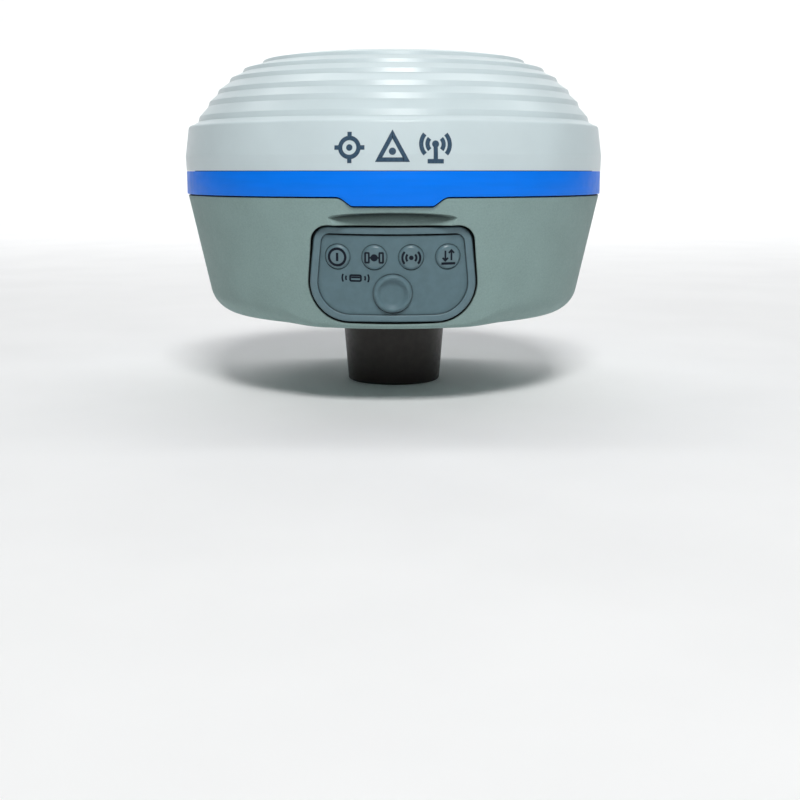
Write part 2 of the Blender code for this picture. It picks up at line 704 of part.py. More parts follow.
def make_cavity(keypad, port):
    """The hollow inside the housing, less the posts and trays that stand in it."""
    floor = HOUSING_BOTTOM + FLOOR
    spigot_inner = SPIGOT_RADIUS - SPIGOT_WALL
    wall_inner = HOUSING_WALL / math.cos(TAPER)
    outline = [
        (0.0, floor),
        *lower_corner(INNER_CORNER_RADIUS, floor, wall_inner, 3),
        (wall_radius(WALL_KNEE) - wall_inner, WALL_KNEE),
        (spigot_inner, HOUSING_TOP - TAB_DROP),
        (spigot_inner, SPIGOT_TOP + 2 * MM),
        (0.0, SPIGOT_TOP + 2 * MM),
    ]
    cavity = turned("housing_cavity", outline, None, even_angles(SEGMENTS))
    posts = rod(POST_RADIUS, floor - MM, POST_TOP)
    combine(cavity, drill("closing_posts", POST_PLACES, posts, ROUND))
    posts = rod(FRAME_POST, floor - MM, FRAME_BOTTOM - GAP)
    combine(cavity, drill("frame_posts", FRAME_SCREW_PLACES, posts))
    tray = straight_slab("keypad_tray", keypad_outline(TRAY_RIM), OUTSIDE, TRAY_DEPTH)
    combine(cavity, place(tray, keypad))
    half_width = PORT_HALF_WIDTH + PORT_TRAY_SIDE
    half_height = PORT_HALF_HEIGHT + PORT_TRAY_END
    outline = rounded_rectangle(half_width, half_height, PORT_TRAY_CORNER)
    tray = straight_slab("port_tray", outline, OUTSIDE, TRAY_DEPTH)
    combine(cavity, place(tray, port))
    return cavity


def cut_keypad_seat(housing, keypad):
    """Pocket, window and scooped brow for the keypad."""
    pocket = curved_slab("keypad_pocket", keypad_outline(GAP), OUTSIDE, POCKET_DEPTH, KEYPAD_CURVE,
                         flat_front=True)
    combine(housing, place(pocket, keypad))
    window = straight_slab("keypad_window", window_outline(), -MM, TRAY_DEPTH + 4 * MM)
    combine(housing, place(window, keypad))
    brow = curved_slab("brow_scoop", brow_outline(), OUTSIDE, BROW_DEPTH, KEYPAD_CURVE, flat_front=True)
    combine(housing, place(brow, keypad))


def cut_port_seat(housing, port):
    """Pocket for the port door, holes for its hinge pin, and the hole behind for the socket."""
    left = HINGE_X - HINGE_CLEARANCE
    right = PORT_HALF_WIDTH + GAP
    middle = ((left + right) / 2, 0)
    half_height = PORT_HALF_HEIGHT + GAP
    outline = rounded_rectangle((right - left) / 2, half_height, PORT_CORNER, middle, 2)
    pocket = straight_slab("port_pocket", outline, OUTSIDE, PORT_POCKET_DEPTH)
    combine(housing, place(pocket, port))
    pin_hole = disc("hinge_pin_hole", HINGE_PIN + GAP, -HINGE_HOLE_END, HINGE_HOLE_END, sides=12)
    combine(housing, place(pin_hole, port, (HINGE_X, HINGE_DEPTH, 0)))
    size = USB_SIZE + Vector((2 * GAP, 12 * MM, 2 * GAP))
    hole = block("usb_hole", size, (0, PORT_POCKET_DEPTH + 4 * MM, 0))
    combine(housing, place(hole, port))


def cut_floor(housing):
    """Screw holes, sound holes and the vent hole in the floor."""
    low = HOUSING_BOTTOM - MM
    seat = HOUSING_BOTTOM + COUNTERBORE_DEPTH
    high = HOUSING_BOTTOM + FLOOR + MM
    head = SCREW_HEAD + GAP
    shank = SCREW_SHANK + GAP
    top = POST_TOP + MM
    outline = [(0.0, low), (head, low), (head, seat), (shank, seat), (shank, top), (0.0, top)]
    combine(housing, drill("closing_screw_holes", POST_PLACES, outline, ROUND))
    outline = rod(NECK_PILOT + 0.2 * MM, low, high)
    combine(housing, drill("neck_screw_holes", NECK_SCREW_PLACES, outline))
    outline = rod(FRAME_PILOT, FRAME_BOTTOM - FRAME_PILOT_LENGTH, FRAME_BOTTOM + MM)
    combine(housing, drill("frame_screw_holes", FRAME_SCREW_PLACES, outline))
    pattern = [(0, 0), *on_ring(SOUND_RING, 5, SOUND_START)]
    places = [(SPEAKER_PLACE[0] + x, SPEAKER_PLACE[1] + y) for x, y in pattern]
    combine(housing, drill("sound_holes", places, rod(SOUND_HOLE, low, high), 8))
    combine(housing, drill("vent_hole", [VENT_PLACE], rod(VENT_HOLE, low, high), ROUND))


def make_housing(keypad, port):
    """Grey lower shell."""
    housing = turned("lower_housing", housing_outline, "housing_plastic", trim_angles())
    combine(housing, make_cavity(keypad, port))
    cut_keypad_seat(housing, keypad)
    cut_port_seat(housing, port)
    cut_floor(housing)
    return housing


# Screws, neck and underside -------------------------------------------------------------------


def make_screw(name, place_at, head_low, tip, sizes):
    """A pan-head screw with a hexagonal driver recess, pointing from its head towards its tip."""
    head, head_height, shank = sizes
    way = math.copysign(1, tip - head_low)
    neck = head_low + way * head_height
    outline = [(0.0, head_low), (head * 0.85, head_low), (head, head_low + way * head_height * 0.3),
               (head, neck), (shank, neck), (shank, tip), (0, tip)]
    screw = turned(name, outline, "steel", even_angles(12))
    reach = 0.6 * head_height
    recess = disc(f"{name}_recess", 0.5 * head, head_low - reach, head_low + reach, sides=6)
    combine(screw, place(recess, None, (*place_at, 0)))
    return place(screw, None, (*place_at, 0))


def make_closing_screws():
    """Four long screws from the underside up into the radome's ears."""
    head_low = HOUSING_BOTTOM + COUNTERBORE_DEPTH - GAP - SCREW_HEAD_HEIGHT
    for index, spot in enumerate(POST_PLACES):
        make_screw(f"housing_screw_{index + 1}", spot, head_low, SCREW_TIP,
                   (SCREW_HEAD, SCREW_HEAD_HEIGHT, SCREW_SHANK))


def make_neck():
    """Dark tapered boss under the housing, bored for its insert."""
    outline = [
        (NECK_BOTTOM_RADIUS - NECK_CHAMFER, 0),
        (NECK_BOTTOM_RADIUS - 0.3 * NECK_CHAMFER, 0.3 * NECK_CHAMFER),
        (NECK_BOTTOM_RADIUS, NECK_CHAMFER),
        (NECK_TOP_RADIUS, NECK_HEIGHT),
        (0.0, NECK_HEIGHT),
        (0.0, INSERT_TOP + GAP),
        (INSERT_RADIUS + GAP, INSERT_TOP + GAP),
        (INSERT_RADIUS + GAP, 0),
    ]
    neck = turned("pole_neck", outline, "neck_plastic", even_angles(32))
    pilot = rod(NECK_PILOT, NECK_PILOT_BOTTOM, NECK_HEIGHT + MM)
    return combine(neck, drill("neck_pilots", NECK_SCREW_PLACES, pilot))


def make_insert():
    """Brass insert with a blind socket for a 5/8 inch pole thread."""
    outline = [
        (INSERT_BORE + INSERT_LEAD_IN, INSERT_BOTTOM),
        (INSERT_RADIUS, INSERT_BOTTOM),
        (INSERT_RADIUS, INSERT_TOP),
        (0.0, INSERT_TOP),
        (0.0, INSERT_BORE_TOP),
        (INSERT_BORE, INSERT_BORE_TOP),
        (INSERT_BORE, INSERT_BOTTOM + INSERT_LEAD_IN),
    ]
    return turned("thread_insert", outline, "brass", even_angles(32))


def make_neck_screws():
    """Four screws from inside the housing down into the neck."""
    head_top = HOUSING_BOTTOM + FLOOR + GAP + NECK_SCREW[1]
    for index, spot in enumerate(NECK_SCREW_PLACES):
        make_screw(f"neck_screw_{index + 1}", spot, head_top, NECK_SCREW_TIP, NECK_SCREW)


def make_underside():
    """Blank rating label, pressure vent and speaker."""
    block("rating_label", LABEL_SIZE, LABEL_PLACE, "label_film", LABEL_CORNER)
    cap = HOUSING_BOTTOM - GAP
    face = cap - GAP
    floor = HOUSING_BOTTOM + FLOOR
    outline = [(0.0, face), (VENT_FACE, face), (VENT_CAP, cap), (VENT_STEM, cap), (VENT_STEM, floor),
               (0.0, floor)]
    place(turned("pressure_vent", outline, "black_plastic"), None, (*VENT_PLACE, 0))
    low = floor + GAP
    outline = [(0.0, low), (SPEAKER_RADIUS, low), (SPEAKER_RADIUS, low + SPEAKER_RIM),
               (SPEAKER_BACK_RADIUS, low + SPEAKER_HEIGHT), (0.0, low + SPEAKER_HEIGHT)]
    place(turned("speaker", outline, "black_plastic"), None, (*SPEAKER_PLACE, 0))


# Keypad ---------------------------------------------------------------------------------------


def keypad_outline(grow=0.0):
    """The keypad's outer outline: sides leaning outwards to large round lower corners."""
    upper = (KEYPAD_HALF_TOP + grow, KEYPAD_HIGH + grow, KEYPAD_TOP_CORNER + grow)
    lower = (KEYPAD_HALF_BOTTOM + grow, KEYPAD_LOW - grow, KEYPAD_BOTTOM_CORNER + grow)
    return mirrored_outline(upper, lower, straight=7)


def mirrored_outline(upper, lower, steps=5, straight=1):
    """A rounded outline that is alike on both sides, from its two right-hand corners."""
    corners = [upper, lower, (-lower[0], *lower[1:]), (-upper[0], *upper[1:])]
    return rounded_outline(corners, steps, straight)


def field_outline(shrink=0.0):
    """The recessed field inside the keypad's border."""
    sides = BORDER_SIDES + shrink
    ends = BORDER_ENDS + shrink
    upper = (KEYPAD_HALF_TOP - sides, KEYPAD_HIGH - ends, FIELD_TOP_CORNER - shrink)
    lower = (KEYPAD_HALF_BOTTOM - sides, KEYPAD_LOW + ends, FIELD_BOTTOM_CORNER - shrink)
    return mirrored_outline(upper, lower, straight=7)


def window_outline():
    """The opening behind the field, for the light guides, the button and the board."""
    return mirrored_outline(*WINDOW_CORNERS, steps=3)


def brow_outline():
    """The scoop above the keypad, with a bowed upper edge."""
    low = KEYPAD_HIGH - BROW_OVERLAP
    points = [Vector((BROW_HALF_WIDTH, low)), Vector((-BROW_HALF_WIDTH, low))]
    for step in range(BROW_STEPS + 1):
        share = 2 * step / BROW_STEPS - 1
        height = KEYPAD_HIGH + BROW_ENDS + BROW_BOW * (1 - share * share)
        points.append(Vector((BROW_HALF_WIDTH * share, height)))
    return points


def lens_places():
    """Local x of each indicator lens."""
    return [(index - (LENS_COUNT - 1) / 2) * LENS_PITCH for index in range(LENS_COUNT)]


def make_keypad_border(keypad):
    """Raised border of the keypad."""
    border = curved_border("keypad_frame", keypad_outline(), field_outline(), 0, POCKET_DEPTH - GAP,
                           KEYPAD_CURVE, "keypad_plastic")
    place(border, keypad)


def make_membrane(keypad):
    """Recessed rubber field with holes for the lenses and the button."""
    membrane = curved_slab("keypad_membrane", field_outline(GAP), MEMBRANE_DEPTH, POCKET_DEPTH - GAP,
                           KEYPAD_CURVE, "keypad_rubber", rings=2)
    place(membrane, keypad)
    reach = 3 * POCKET_DEPTH
    for index, x in enumerate(lens_places()):
        hole = disc(f"lens_hole_{index}", LENS_RADIUS + GAP, -reach, reach, outwards=True)
        combine(membrane, place(hole, keypad, *lens_pose(x)))
    hole = disc("button_hole", BUTTON_RADIUS + GAP, -reach, reach, sides=20, outwards=True)
    combine(membrane, place(hole, keypad, (0, 0, BUTTON_ROW)))


def lens_pose(x):
    """Location and rotation of something square to the keypad's curve at x."""
    return (x, sag(x, KEYPAD_CURVE), LENS_ROW), (0, 0, math.asin(x / KEYPAD_CURVE))


def make_lenses(keypad):
    """Round indicator windows, each with a light guide behind it."""
    outline = [
        (0.0, -0.05 * MM),
        (LENS_RADIUS - 0.4 * MM, -0.05 * MM),
        (LENS_RADIUS, -0.35 * MM),
        (LENS_RADIUS, -POCKET_DEPTH),
        (GUIDE_RADIUS, -POCKET_DEPTH),
        (GUIDE_RADIUS, -GUIDE_END),
        (0.0, -GUIDE_END),
    ]
    for index, x in enumerate(lens_places()):
        lens = turned(f"indicator_lens_{index + 1}", outline, "lens_plastic", even_angles(ROUND), True)
        place(lens, keypad, *lens_pose(x))


def make_button(keypad):
    """Power button: raised rim, dished middle, a flange that keeps it in and a stem to the switch."""
    outline = [
        (0.0, -0.45 * MM),
        (3.1 * MM, -0.3 * MM),
        (4.1 * MM, 0.05 * MM),
        (4.8 * MM, 0.1 * MM),
        (BUTTON_RADIUS, -0.3 * MM),
        (BUTTON_RADIUS, -POCKET_DEPTH),
        (BUTTON_FLANGE, -POCKET_DEPTH),
        (BUTTON_FLANGE, -2.7 * MM),
        (GUIDE_RADIUS, -2.7 * MM),
        (GUIDE_RADIUS, -BUTTON_STEM_END),
        (0.0, -BUTTON_STEM_END),
    ]
    button = turned("power_button", outline, "keypad_rubber", even_angles(20), True)
    place(button, keypad, (0, 0, BUTTON_ROW))


def make_switch(keypad):
    """Tactile switch with its moving plunger."""
    plunger = disc("tact_plunger", PLUNGER_RADIUS, -PLUNGER_DEPTH - PLUNGER_LENGTH, -PLUNGER_DEPTH,
                   "black_plastic", outwards=True)
    place(plunger, keypad, (0, 0, BUTTON_ROW))
    depth = TRAY_DEPTH - SWITCH_FRONT
    size = (SWITCH_SIDE, depth, SWITCH_SIDE)
    body = block("tact_switch", size, (0, TRAY_DEPTH - depth / 2, 0), "tinned_steel")
    place(body, keypad, (0, 0, BUTTON_ROW))
    bore = disc("tact_bore", PLUNGER_RADIUS + GAP, -SWITCH_BORE_END, -BUTTON_STEM_END, outwards=True)
    combine(body, place(bore, keypad, (0, 0, BUTTON_ROW)))


def make_keypad_board(keypad):
    """Keypad circuit board with its four LEDs, the contactless coil and the ribbon to the main board."""
    middle = TRAY_DEPTH + GAP + KEYPAD_BOARD_SIZE[1] / 2
    board = block("keypad_board", KEYPAD_BOARD_SIZE, (0, middle, KEYPAD_BOARD_DROP), "circuit_board")
    place(board, keypad)
    middle = TRAY_DEPTH - LED_SIZE[1] / 2
    for index, x in enumerate(lens_places()):
        led = block(f"indicator_led_{index + 1}", LED_SIZE, (x, middle, LENS_ROW), "led_epoxy")
        place(led, keypad)
    loop_outer = rounded_rectangle(*COIL_OUTER, COIL_PLACE, 3)
    loop_inner = rounded_rectangle(*COIL_INNER, COIL_PLACE, 3)
    coil = curved_border("nfc_coil", loop_outer, loop_inner, TRAY_DEPTH - COIL_THICKNESS, TRAY_DEPTH,
                         FLAT, "copper")
    place(coil, keypad)
    path = [(y * MM, z * MM) for y, z in RIBBON_PATH]
    strip("keypad_ribbon", path, RIBBON_WIDTH, RIBBON_THICKNESS, "polyimide")


# Rear port ------------------------------------------------------------------------------------


def make_port_door(port):
    """Hinged door, its barrel at the left edge so that it swings clear; its origin is on the hinge."""
    hinge = (HINGE_X, HINGE_DEPTH, 0)
    right, left = PORT_HALF_WIDTH, HINGE_X
    outline = rounded_outline([
        (right, PORT_HALF_HEIGHT, DOOR_CORNER),
        (right, -PORT_HALF_HEIGHT, DOOR_CORNER),
        (left, -PORT_HALF_HEIGHT, HINGE_CORNER),
        (left, PORT_HALF_HEIGHT, HINGE_CORNER),
    ], 3, straight=6)
    door = curved_slab("port_door", outline, DOOR_RECESS, DOOR_RECESS + DOOR_WALL, PORT_CURVE,
                       "housing_plastic")
    door.data.transform(Matrix.Translation(-Vector(hinge)))
    place(door, port, hinge)
    barrel = disc("door_barrel", HINGE_BARREL, -PORT_HALF_HEIGHT, PORT_HALF_HEIGHT)
    combine(door, place(barrel, port, hinge), "UNION")
    bore = disc("door_bore", HINGE_PIN + GAP, -HINGE_HOLE_END, HINGE_HOLE_END, sides=12)
    combine(door, place(bore, port, hinge))
    grip = block("door_grip", GRIP_SIZE, (right, DOOR_RECESS + sag(right, PORT_CURVE), 0))
    combine(door, place(grip, port))
    pin = disc("port_door_pin", HINGE_PIN, -HINGE_PIN_END, HINGE_PIN_END, "steel", 12)
    place(pin, port, hinge)


def make_port_inside(port):
    """USB socket in the pocket's back wall, and the rubber plug that the door presses over it."""
    front = PORT_POCKET_DEPTH + GAP
    middle = front + USB_SIZE.y / 2
    socket = block("usb_socket", USB_SIZE, (0, middle, 0), "tinned_steel")
    place(socket, port)
    mouth = block("usb_mouth", USB_SIZE - USB_WALL, (0, middle - USB_WALL.y, 0))
    combine(socket, place(mouth, port))
    seal_front = DOOR_RECESS + DOOR_WALL + 2 * GAP
    depth = PORT_POCKET_DEPTH - GAP - seal_front
    size = (SEAL_WIDTH, depth, SEAL_HEIGHT)
    seal = block("port_door_seal", size, (0, seal_front + depth / 2, 0), "black_rubber")
    place(seal, port)


# Inside ---------------------------------------------------------------------------------------


def make_inner_frame():
    """Moulded plate on the housing's posts, with short posts of its own under the main board."""
    frame = disc("inner_frame", FRAME_RADIUS, FRAME_BOTTOM, FRAME_TOP, "black_plastic", 40)
    post = rod(BOARD_POST, FRAME_TOP - MM, BOARD_BOTTOM - GAP)
    combine(frame, drill("board_posts", SPACER_PLACES, post), "UNION")
    combine(frame, block("frame_window", FRAME_WINDOW, (0, 0, FRAME_BOTTOM)))
    hole = rod(FRAME_PILOT, FRAME_BOTTOM - MM, FRAME_TOP + MM)
    combine(frame, drill("frame_holes", FRAME_SCREW_PLACES, hole))
    head_top = FRAME_TOP + GAP + FRAME_SCREW[1]
    tip = FRAME_BOTTOM - FRAME_SCREW_LENGTH
    for index, spot in enumerate(FRAME_SCREW_PLACES):
        make_screw(f"frame_screw_{index + 1}", spot, head_top, tip, FRAME_SCREW)


def make_battery():
    """Two lithium cells side by side in a holder on the floor."""
    low = HOUSING_BOTTOM + FLOOR + GAP + HOLDER_MARGIN
    high = CELL_HEIGHT - HOLDER_MARGIN
    size = (*HOLDER_SIZE, high - low)
    holder = block("battery_holder", size, (0, 0, (low + high) / 2), "black_plastic")
    for index, y in enumerate((-CELL_OFFSET, CELL_OFFSET)):
        lying = (0, math.pi / 2, 0)
        half = CELL_LENGTH / 2
        seat = disc(f"cell_seat_{index}", CELL_RADIUS + GAP, -half - GAP, half + GAP, sides=24)
        combine(holder, place(seat, None, (0, y, CELL_HEIGHT), lying))
        rim = half - CELL_CRIMP
        outline = [(0.0, -half), (CELL_RADIUS - CELL_EDGE, -half), (CELL_RADIUS, CELL_EDGE - half),
                   (CELL_RADIUS, rim - CELL_CRIMP), (CELL_RADIUS - CELL_CRIMP, rim),
                   (CELL_TERMINAL, rim), (CELL_TERMINAL, half), (0.0, half)]
        cell = turned(f"battery_cell_{index + 1}", outline, "cell_wrap", even_angles(24))
        place(cell, None, (0, y, CELL_HEIGHT), lying)


def make_main_board():
    """Main circuit board and the modules on it."""
    disc("main_board", BOARD_RADIUS, BOARD_BOTTOM, BOARD_TOP, "circuit_board", 40)
    for name, size, (x, y), finish in MODULES:
        centre = (x * MM, y * MM, BOARD_TOP + GAP + size[2] * MM / 2)
        block(name, [side * MM for side in size], centre, finish, MODULE_CORNER)


def make_antenna():
    """Two stacked ceramic patches on a ground plane, on four spacers, with a coaxial lead."""
    for index, (x, y) in enumerate(SPACER_PLACES):
        spacer = disc(f"antenna_spacer_{index + 1}", SPACER_RADIUS, BOARD_TOP + GAP, PLANE_BOTTOM - GAP,
                      "brass", 6)
        place(spacer, None, (x, y, 0))
    disc("antenna_ground_plane", PLANE_RADIUS, PLANE_BOTTOM, PLANE_TOP, "circuit_board", 40)
    middle = PLANE_TOP + GAP + LOWER_PATCH[2] / 2
    block("antenna_patch_lower", LOWER_PATCH, (0, 0, middle), "ceramic", LOWER_PATCH_CORNER)
    middle += LOWER_PATCH[2] / 2 + GAP + UPPER_PATCH[2] / 2
    block("antenna_patch_upper", UPPER_PATCH, (0, 0, middle), "ceramic", UPPER_PATCH_CORNER)
    route = [Vector(point) * MM for point in COAX_ROUTE]
    tube("antenna_coax", route, COAX_RADIUS, "black_rubber")


def build():
    """Make every piece of the receiver."""
    clear_scene()
    keypad = frame_at("keypad_axes", KEYPAD_CENTRE, (KEYPAD_TILT, 0, 0))
    port = frame_at("port_axes", (0, wall_radius(PORT_HEIGHT), PORT_HEIGHT), (TAPER, 0, math.pi))
    make_radome()
    make_trim_ring()
    make_rim_seal()
    make_housing(keypad, port)
    make_closing_screws()
    make_neck()
    make_insert()
    make_neck_screws()
    make_underside()
    make_keypad_border(keypad)
    make_membrane(keypad)
    make_lenses(keypad)
    make_button(keypad)
    make_switch(keypad)
    make_keypad_board(keypad)
    make_port_door(port)
    make_port_inside(port)
    make_inner_frame()
    make_battery()
    make_main_board()
    make_antenna()


build()
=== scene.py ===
"""Looks of the survey GNSS receiver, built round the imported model. Metres, +Z up, keypad facing -Y."""

import json
import math

import bmesh
import bpy
from mathutils import Matrix, Vector


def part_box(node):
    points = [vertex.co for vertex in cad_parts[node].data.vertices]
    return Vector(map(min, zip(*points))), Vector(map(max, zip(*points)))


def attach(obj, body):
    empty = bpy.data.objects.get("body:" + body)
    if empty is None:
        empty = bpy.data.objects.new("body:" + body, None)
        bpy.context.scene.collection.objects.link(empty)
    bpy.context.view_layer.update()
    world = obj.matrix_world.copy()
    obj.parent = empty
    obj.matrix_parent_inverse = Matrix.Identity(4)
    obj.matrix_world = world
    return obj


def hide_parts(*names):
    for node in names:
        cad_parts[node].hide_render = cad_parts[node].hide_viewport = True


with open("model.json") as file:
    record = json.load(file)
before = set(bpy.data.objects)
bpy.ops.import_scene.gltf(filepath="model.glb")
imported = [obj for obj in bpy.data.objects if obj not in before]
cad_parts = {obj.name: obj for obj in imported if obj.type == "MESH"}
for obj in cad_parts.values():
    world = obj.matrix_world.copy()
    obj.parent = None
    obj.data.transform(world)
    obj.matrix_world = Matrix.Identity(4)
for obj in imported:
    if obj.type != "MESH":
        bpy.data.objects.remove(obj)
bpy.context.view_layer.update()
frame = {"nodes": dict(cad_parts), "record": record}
RECORD = frame["record"]
SLOT_OF = {part["node"]: part["material_slot"] for part in RECORD["subparts"]}
JOINTS = {joint["name"]: joint for joint in RECORD["behaviour"]["joints"]}

MM = 0.001
GAP = 0.3 * MM

# Heights and radii of the stack, read from the frame
BAND_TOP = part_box("trim_ring")[1].z
BODY_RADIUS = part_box("radome_cover")[1].x
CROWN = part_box("radome_cover")[1].z
TRIM_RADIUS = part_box("trim_ring")[1].x
HOUSING_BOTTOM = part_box("lower_housing")[0].z
SPIGOT_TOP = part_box("lower_housing")[1].z
NECK_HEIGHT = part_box("pole_neck")[1].z
NECK_TOP_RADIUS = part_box("pole_neck")[1].x
INSERT_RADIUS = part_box("thread_insert")[1].x
INSERT_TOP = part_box("thread_insert")[1].z
INSERT_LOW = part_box("thread_insert")[0].z
RIM_GAP = 0.12 * MM  # the radome sits closer to the trim ring than the plain clearance

# Radome
BAND_FOOT_INSET = 0.15 * MM
BAND_FULL_HEIGHT = 4.5 * MM
BAND_LIP_RADIUS = 63.8 * MM
BAND_LIP_HEIGHT = 13.5 * MM
SHOULDER_RADIUS = 62.5 * MM
SHOULDER_HEIGHT = 13.7 * MM
DOME_RADIUS = 63.11 * MM
DOME_FOOT = 12.27 * MM
DOME_POWER = 5.7
DOME_ROUNDNESS = 1.19
RADOME_WALL = 2.3 * MM
TERRACE_RADII = [radius * MM for radius in (40.5, 46.6, 50.7, 54.4, 57.3, 60.4)]
TERRACE_STEP = 1.1 * MM
TERRACE_RUN = 0.5 * MM
FLANGE_TOP = 4.0 * MM
FLANGE_BOTTOM = 1.6 * MM

# Trim ring
TRIM_HEIGHT = 6.85 * MM
TRIM_WALL = 1.9 * MM
TAB_HALF_TOP = 14.4 * MM
TAB_HALF_BOTTOM = 11.2 * MM
TAB_DROP = 2.4 * MM
TAB_TOP_ROUNDING = 1.1 * MM
TAB_BOTTOM_ROUNDING = 0.5 * MM

# Lower housing
HOUSING_TOP_RADIUS = 64.48 * MM
HOUSING_TOP = BAND_TOP - TRIM_HEIGHT - GAP
TAPER = math.radians(12.2)
HOUSING_WALL = 2.4 * MM
FLOOR = 2.6 * MM
CORNER_RADIUS = 9.0 * MM
FRONT_CORNER_RADIUS = 2.0 * MM
FRONT_CORNER_HALF = 20.0 * MM
FRONT_CORNER_END = 36.0 * MM
SPIGOT_RADIUS = TRIM_RADIUS - TRIM_WALL - GAP
SPIGOT_WALL = 2.4 * MM

# Keypad frame: x across, z up, y inwards
KEYPAD_CURVE = 90.0 * MM
KEYPAD_HIGH = 13.2 * MM
KEYPAD_LOW = -13.95 * MM
KEYPAD_HALF_TOP = 21.9 * MM
KEYPAD_HALF_BOTTOM = 24.3 * MM
KEYPAD_TOP_CORNER = 4.5 * MM
KEYPAD_BOTTOM_CORNER = 11.0 * MM
BORDER_ENDS = 2.2 * MM
BORDER_SIDES = 2.4 * MM
FIELD_TOP_CORNER = 2.6 * MM
FIELD_BOTTOM_CORNER = 8.9 * MM
GROOVE = 0.5 * MM  # open line above the field
SEAM = 0.22 * MM  # how much wider the shadow gap round the keypad is than the plain clearance
POCKET_DEPTH = 2.0 * MM
TRAY_DEPTH = 8.0 * MM
MEMBRANE_DEPTH = 0.6 * MM
WINDOW_CORNERS = [(17.4 * MM, 9.4 * MM, 2.0 * MM), (18.0 * MM, -12.1 * MM, 7.0 * MM)]
LENS_RADIUS = 3.5 * MM
LENS_ROW = 4.55 * MM
LENS_PITCH = 10.2 * MM
LENS_COUNT = 4
LENS_FACE = 0.05 * MM
BUTTON_RADIUS = 5.5 * MM
BUTTON_ROW = -5.65 * MM
BUTTON_FLANGE = 6.05 * MM
SWITCH_MIDDLE = 6.9 * MM  # depth of the switch body's middle behind the keypad's surface

OUTSIDE = -14.0 * MM  # a depth that is clear of the wall, for cutters
BISECTIONS = 26

# Scoop above the keypad
BROW_HALF_WIDTH = 19.3 * MM
BROW_TOP = 4.3 * MM
BROW_BOW = 1.45 * MM
BROW_CURL = 0.9 * MM  # height over which its ceiling turns down
BROW_LIFT = 2.5 * MM
BROW_HOLLOW = 1.5 * MM  # how far it undercuts the keypad's own depth
BROW_BACKING = 2.2 * MM  # depth of the thicker wall behind it
BROW_FADE = 5

# Pole thread
THREAD_PITCH = 25.4 / 11 * MM
THREAD_MINOR = 6.75 * MM
THREAD_MAJOR = 7.85 * MM

# Port frame: x across, z up, y inwards
PORT_CURVE = 61.7 * MM
PORT_HALF_WIDTH = 13.2 * MM
PORT_HALF_HEIGHT = 7.0 * MM
PORT_POCKET_DEPTH = 4.8 * MM
DOOR_RECESS = 0.2 * MM
DOOR_WALL = 1.8 * MM
HINGE_X = -12.4 * MM
HINGE_DEPTH = 2.76 * MM
HINGE_BARREL = 1.5 * MM
HINGE_CLEARANCE = 2.1 * MM
USB_WIDTH = 9.0 * MM
USB_HEIGHT = 3.3 * MM
USB_MOUTH_DEPTH = 6.0 * MM


# Geometry helpers -----------------------------------------------------------------------------


def even_angles(count):
    """Angles spread evenly round a turn."""
    return [math.tau * step / count for step in range(count)]


def front_angles(spread=18.0 * MM, fine=0.3 * MM, coarse=math.radians(2)):
    """Angles round a turn, dense across the front where the tab is."""
    half = math.asin(spread / TRIM_RADIUS)
    step = fine / TRIM_RADIUS
    count = round(2 * half / step)
    dense = [1.5 * math.pi - half + 2 * half * index / count for index in range(count + 1)]
    rest = math.tau - 2 * half
    parts = round(rest / coarse)
    start = 1.5 * math.pi + half
    return dense + [start + rest * index / parts for index in range(1, parts)]


def corner_arc(before, corner, after, radius, steps):
    """Points on the arc that rounds one corner of a path."""
    if radius <= 0:
        return [corner]
    back = (before - corner).normalized()
    ahead = (after - corner).normalized()
    half_angle = back.angle(ahead) / 2
    centre = corner + (back + ahead).normalized() * radius / math.sin(half_angle)
    reach = radius / math.tan(half_angle)
    start = corner + back * reach - centre
    turn = start.angle_signed(corner + ahead * reach - centre)
    return [centre + Matrix.Rotation(-turn * step / steps, 2) @ start for step in range(steps + 1)]


def rounded_outline(corners, steps=12, straight=1):
    """Points round a polygon of (x, z, radius) corners; each side has straight parts."""
    spots = [Vector(corner[:2]) for corner in corners]
    arcs = []
    for index, (x, z, radius) in enumerate(corners):
        following = spots[(index + 1) % len(spots)]
        arcs.append(corner_arc(spots[index - 1], spots[index], following, radius, steps))
    points = []
    for arc, following in zip(arcs, arcs[1:] + arcs[:1]):
        points += arc
        points += [arc[-1].lerp(following[0], step / straight) for step in range(1, straight)]
    return points


def rounded_rectangle(half_width, half_height, radius, middle=(0.0, 0.0), steps=8, straight=1):
    """A rectangle's outline with four equal round corners."""
    signs = [(1, 1), (1, -1), (-1, -1), (-1, 1)]
    corners = [(middle[0] + x * half_width, middle[1] + z * half_height, radius) for x, z in signs]
    return rounded_outline(corners, steps, straight)


def sag(x, curve):
    """How far a cylinder of this radius falls back at x from its front line."""
    return curve - math.sqrt(curve * curve - x * x)


def join_loops(bm, one, other):
    """Faces between two loops of the same number of vertices."""
    for a, b, c, d in zip(one, one[1:] + one[:1], other[1:] + other[:1], other):
        bm.faces.new((a, b, c, d))


def close_pole(bm, one, other):
    """Close a ring at its pole, given as a height: one flat face, or a cone of triangles."""
    ring, height = (other, one) if isinstance(one, float) else (one, other)
    if isinstance(ring, float):
        return
    if abs(ring[0].co.z - height) < 0.001 * MM:
        bm.faces.new(ring)
        return
    hub = bm.verts.new((0, 0, height))
    for first, second in zip(ring, ring[1:] + ring[:1]):
        bm.faces.new((first, second, hub))


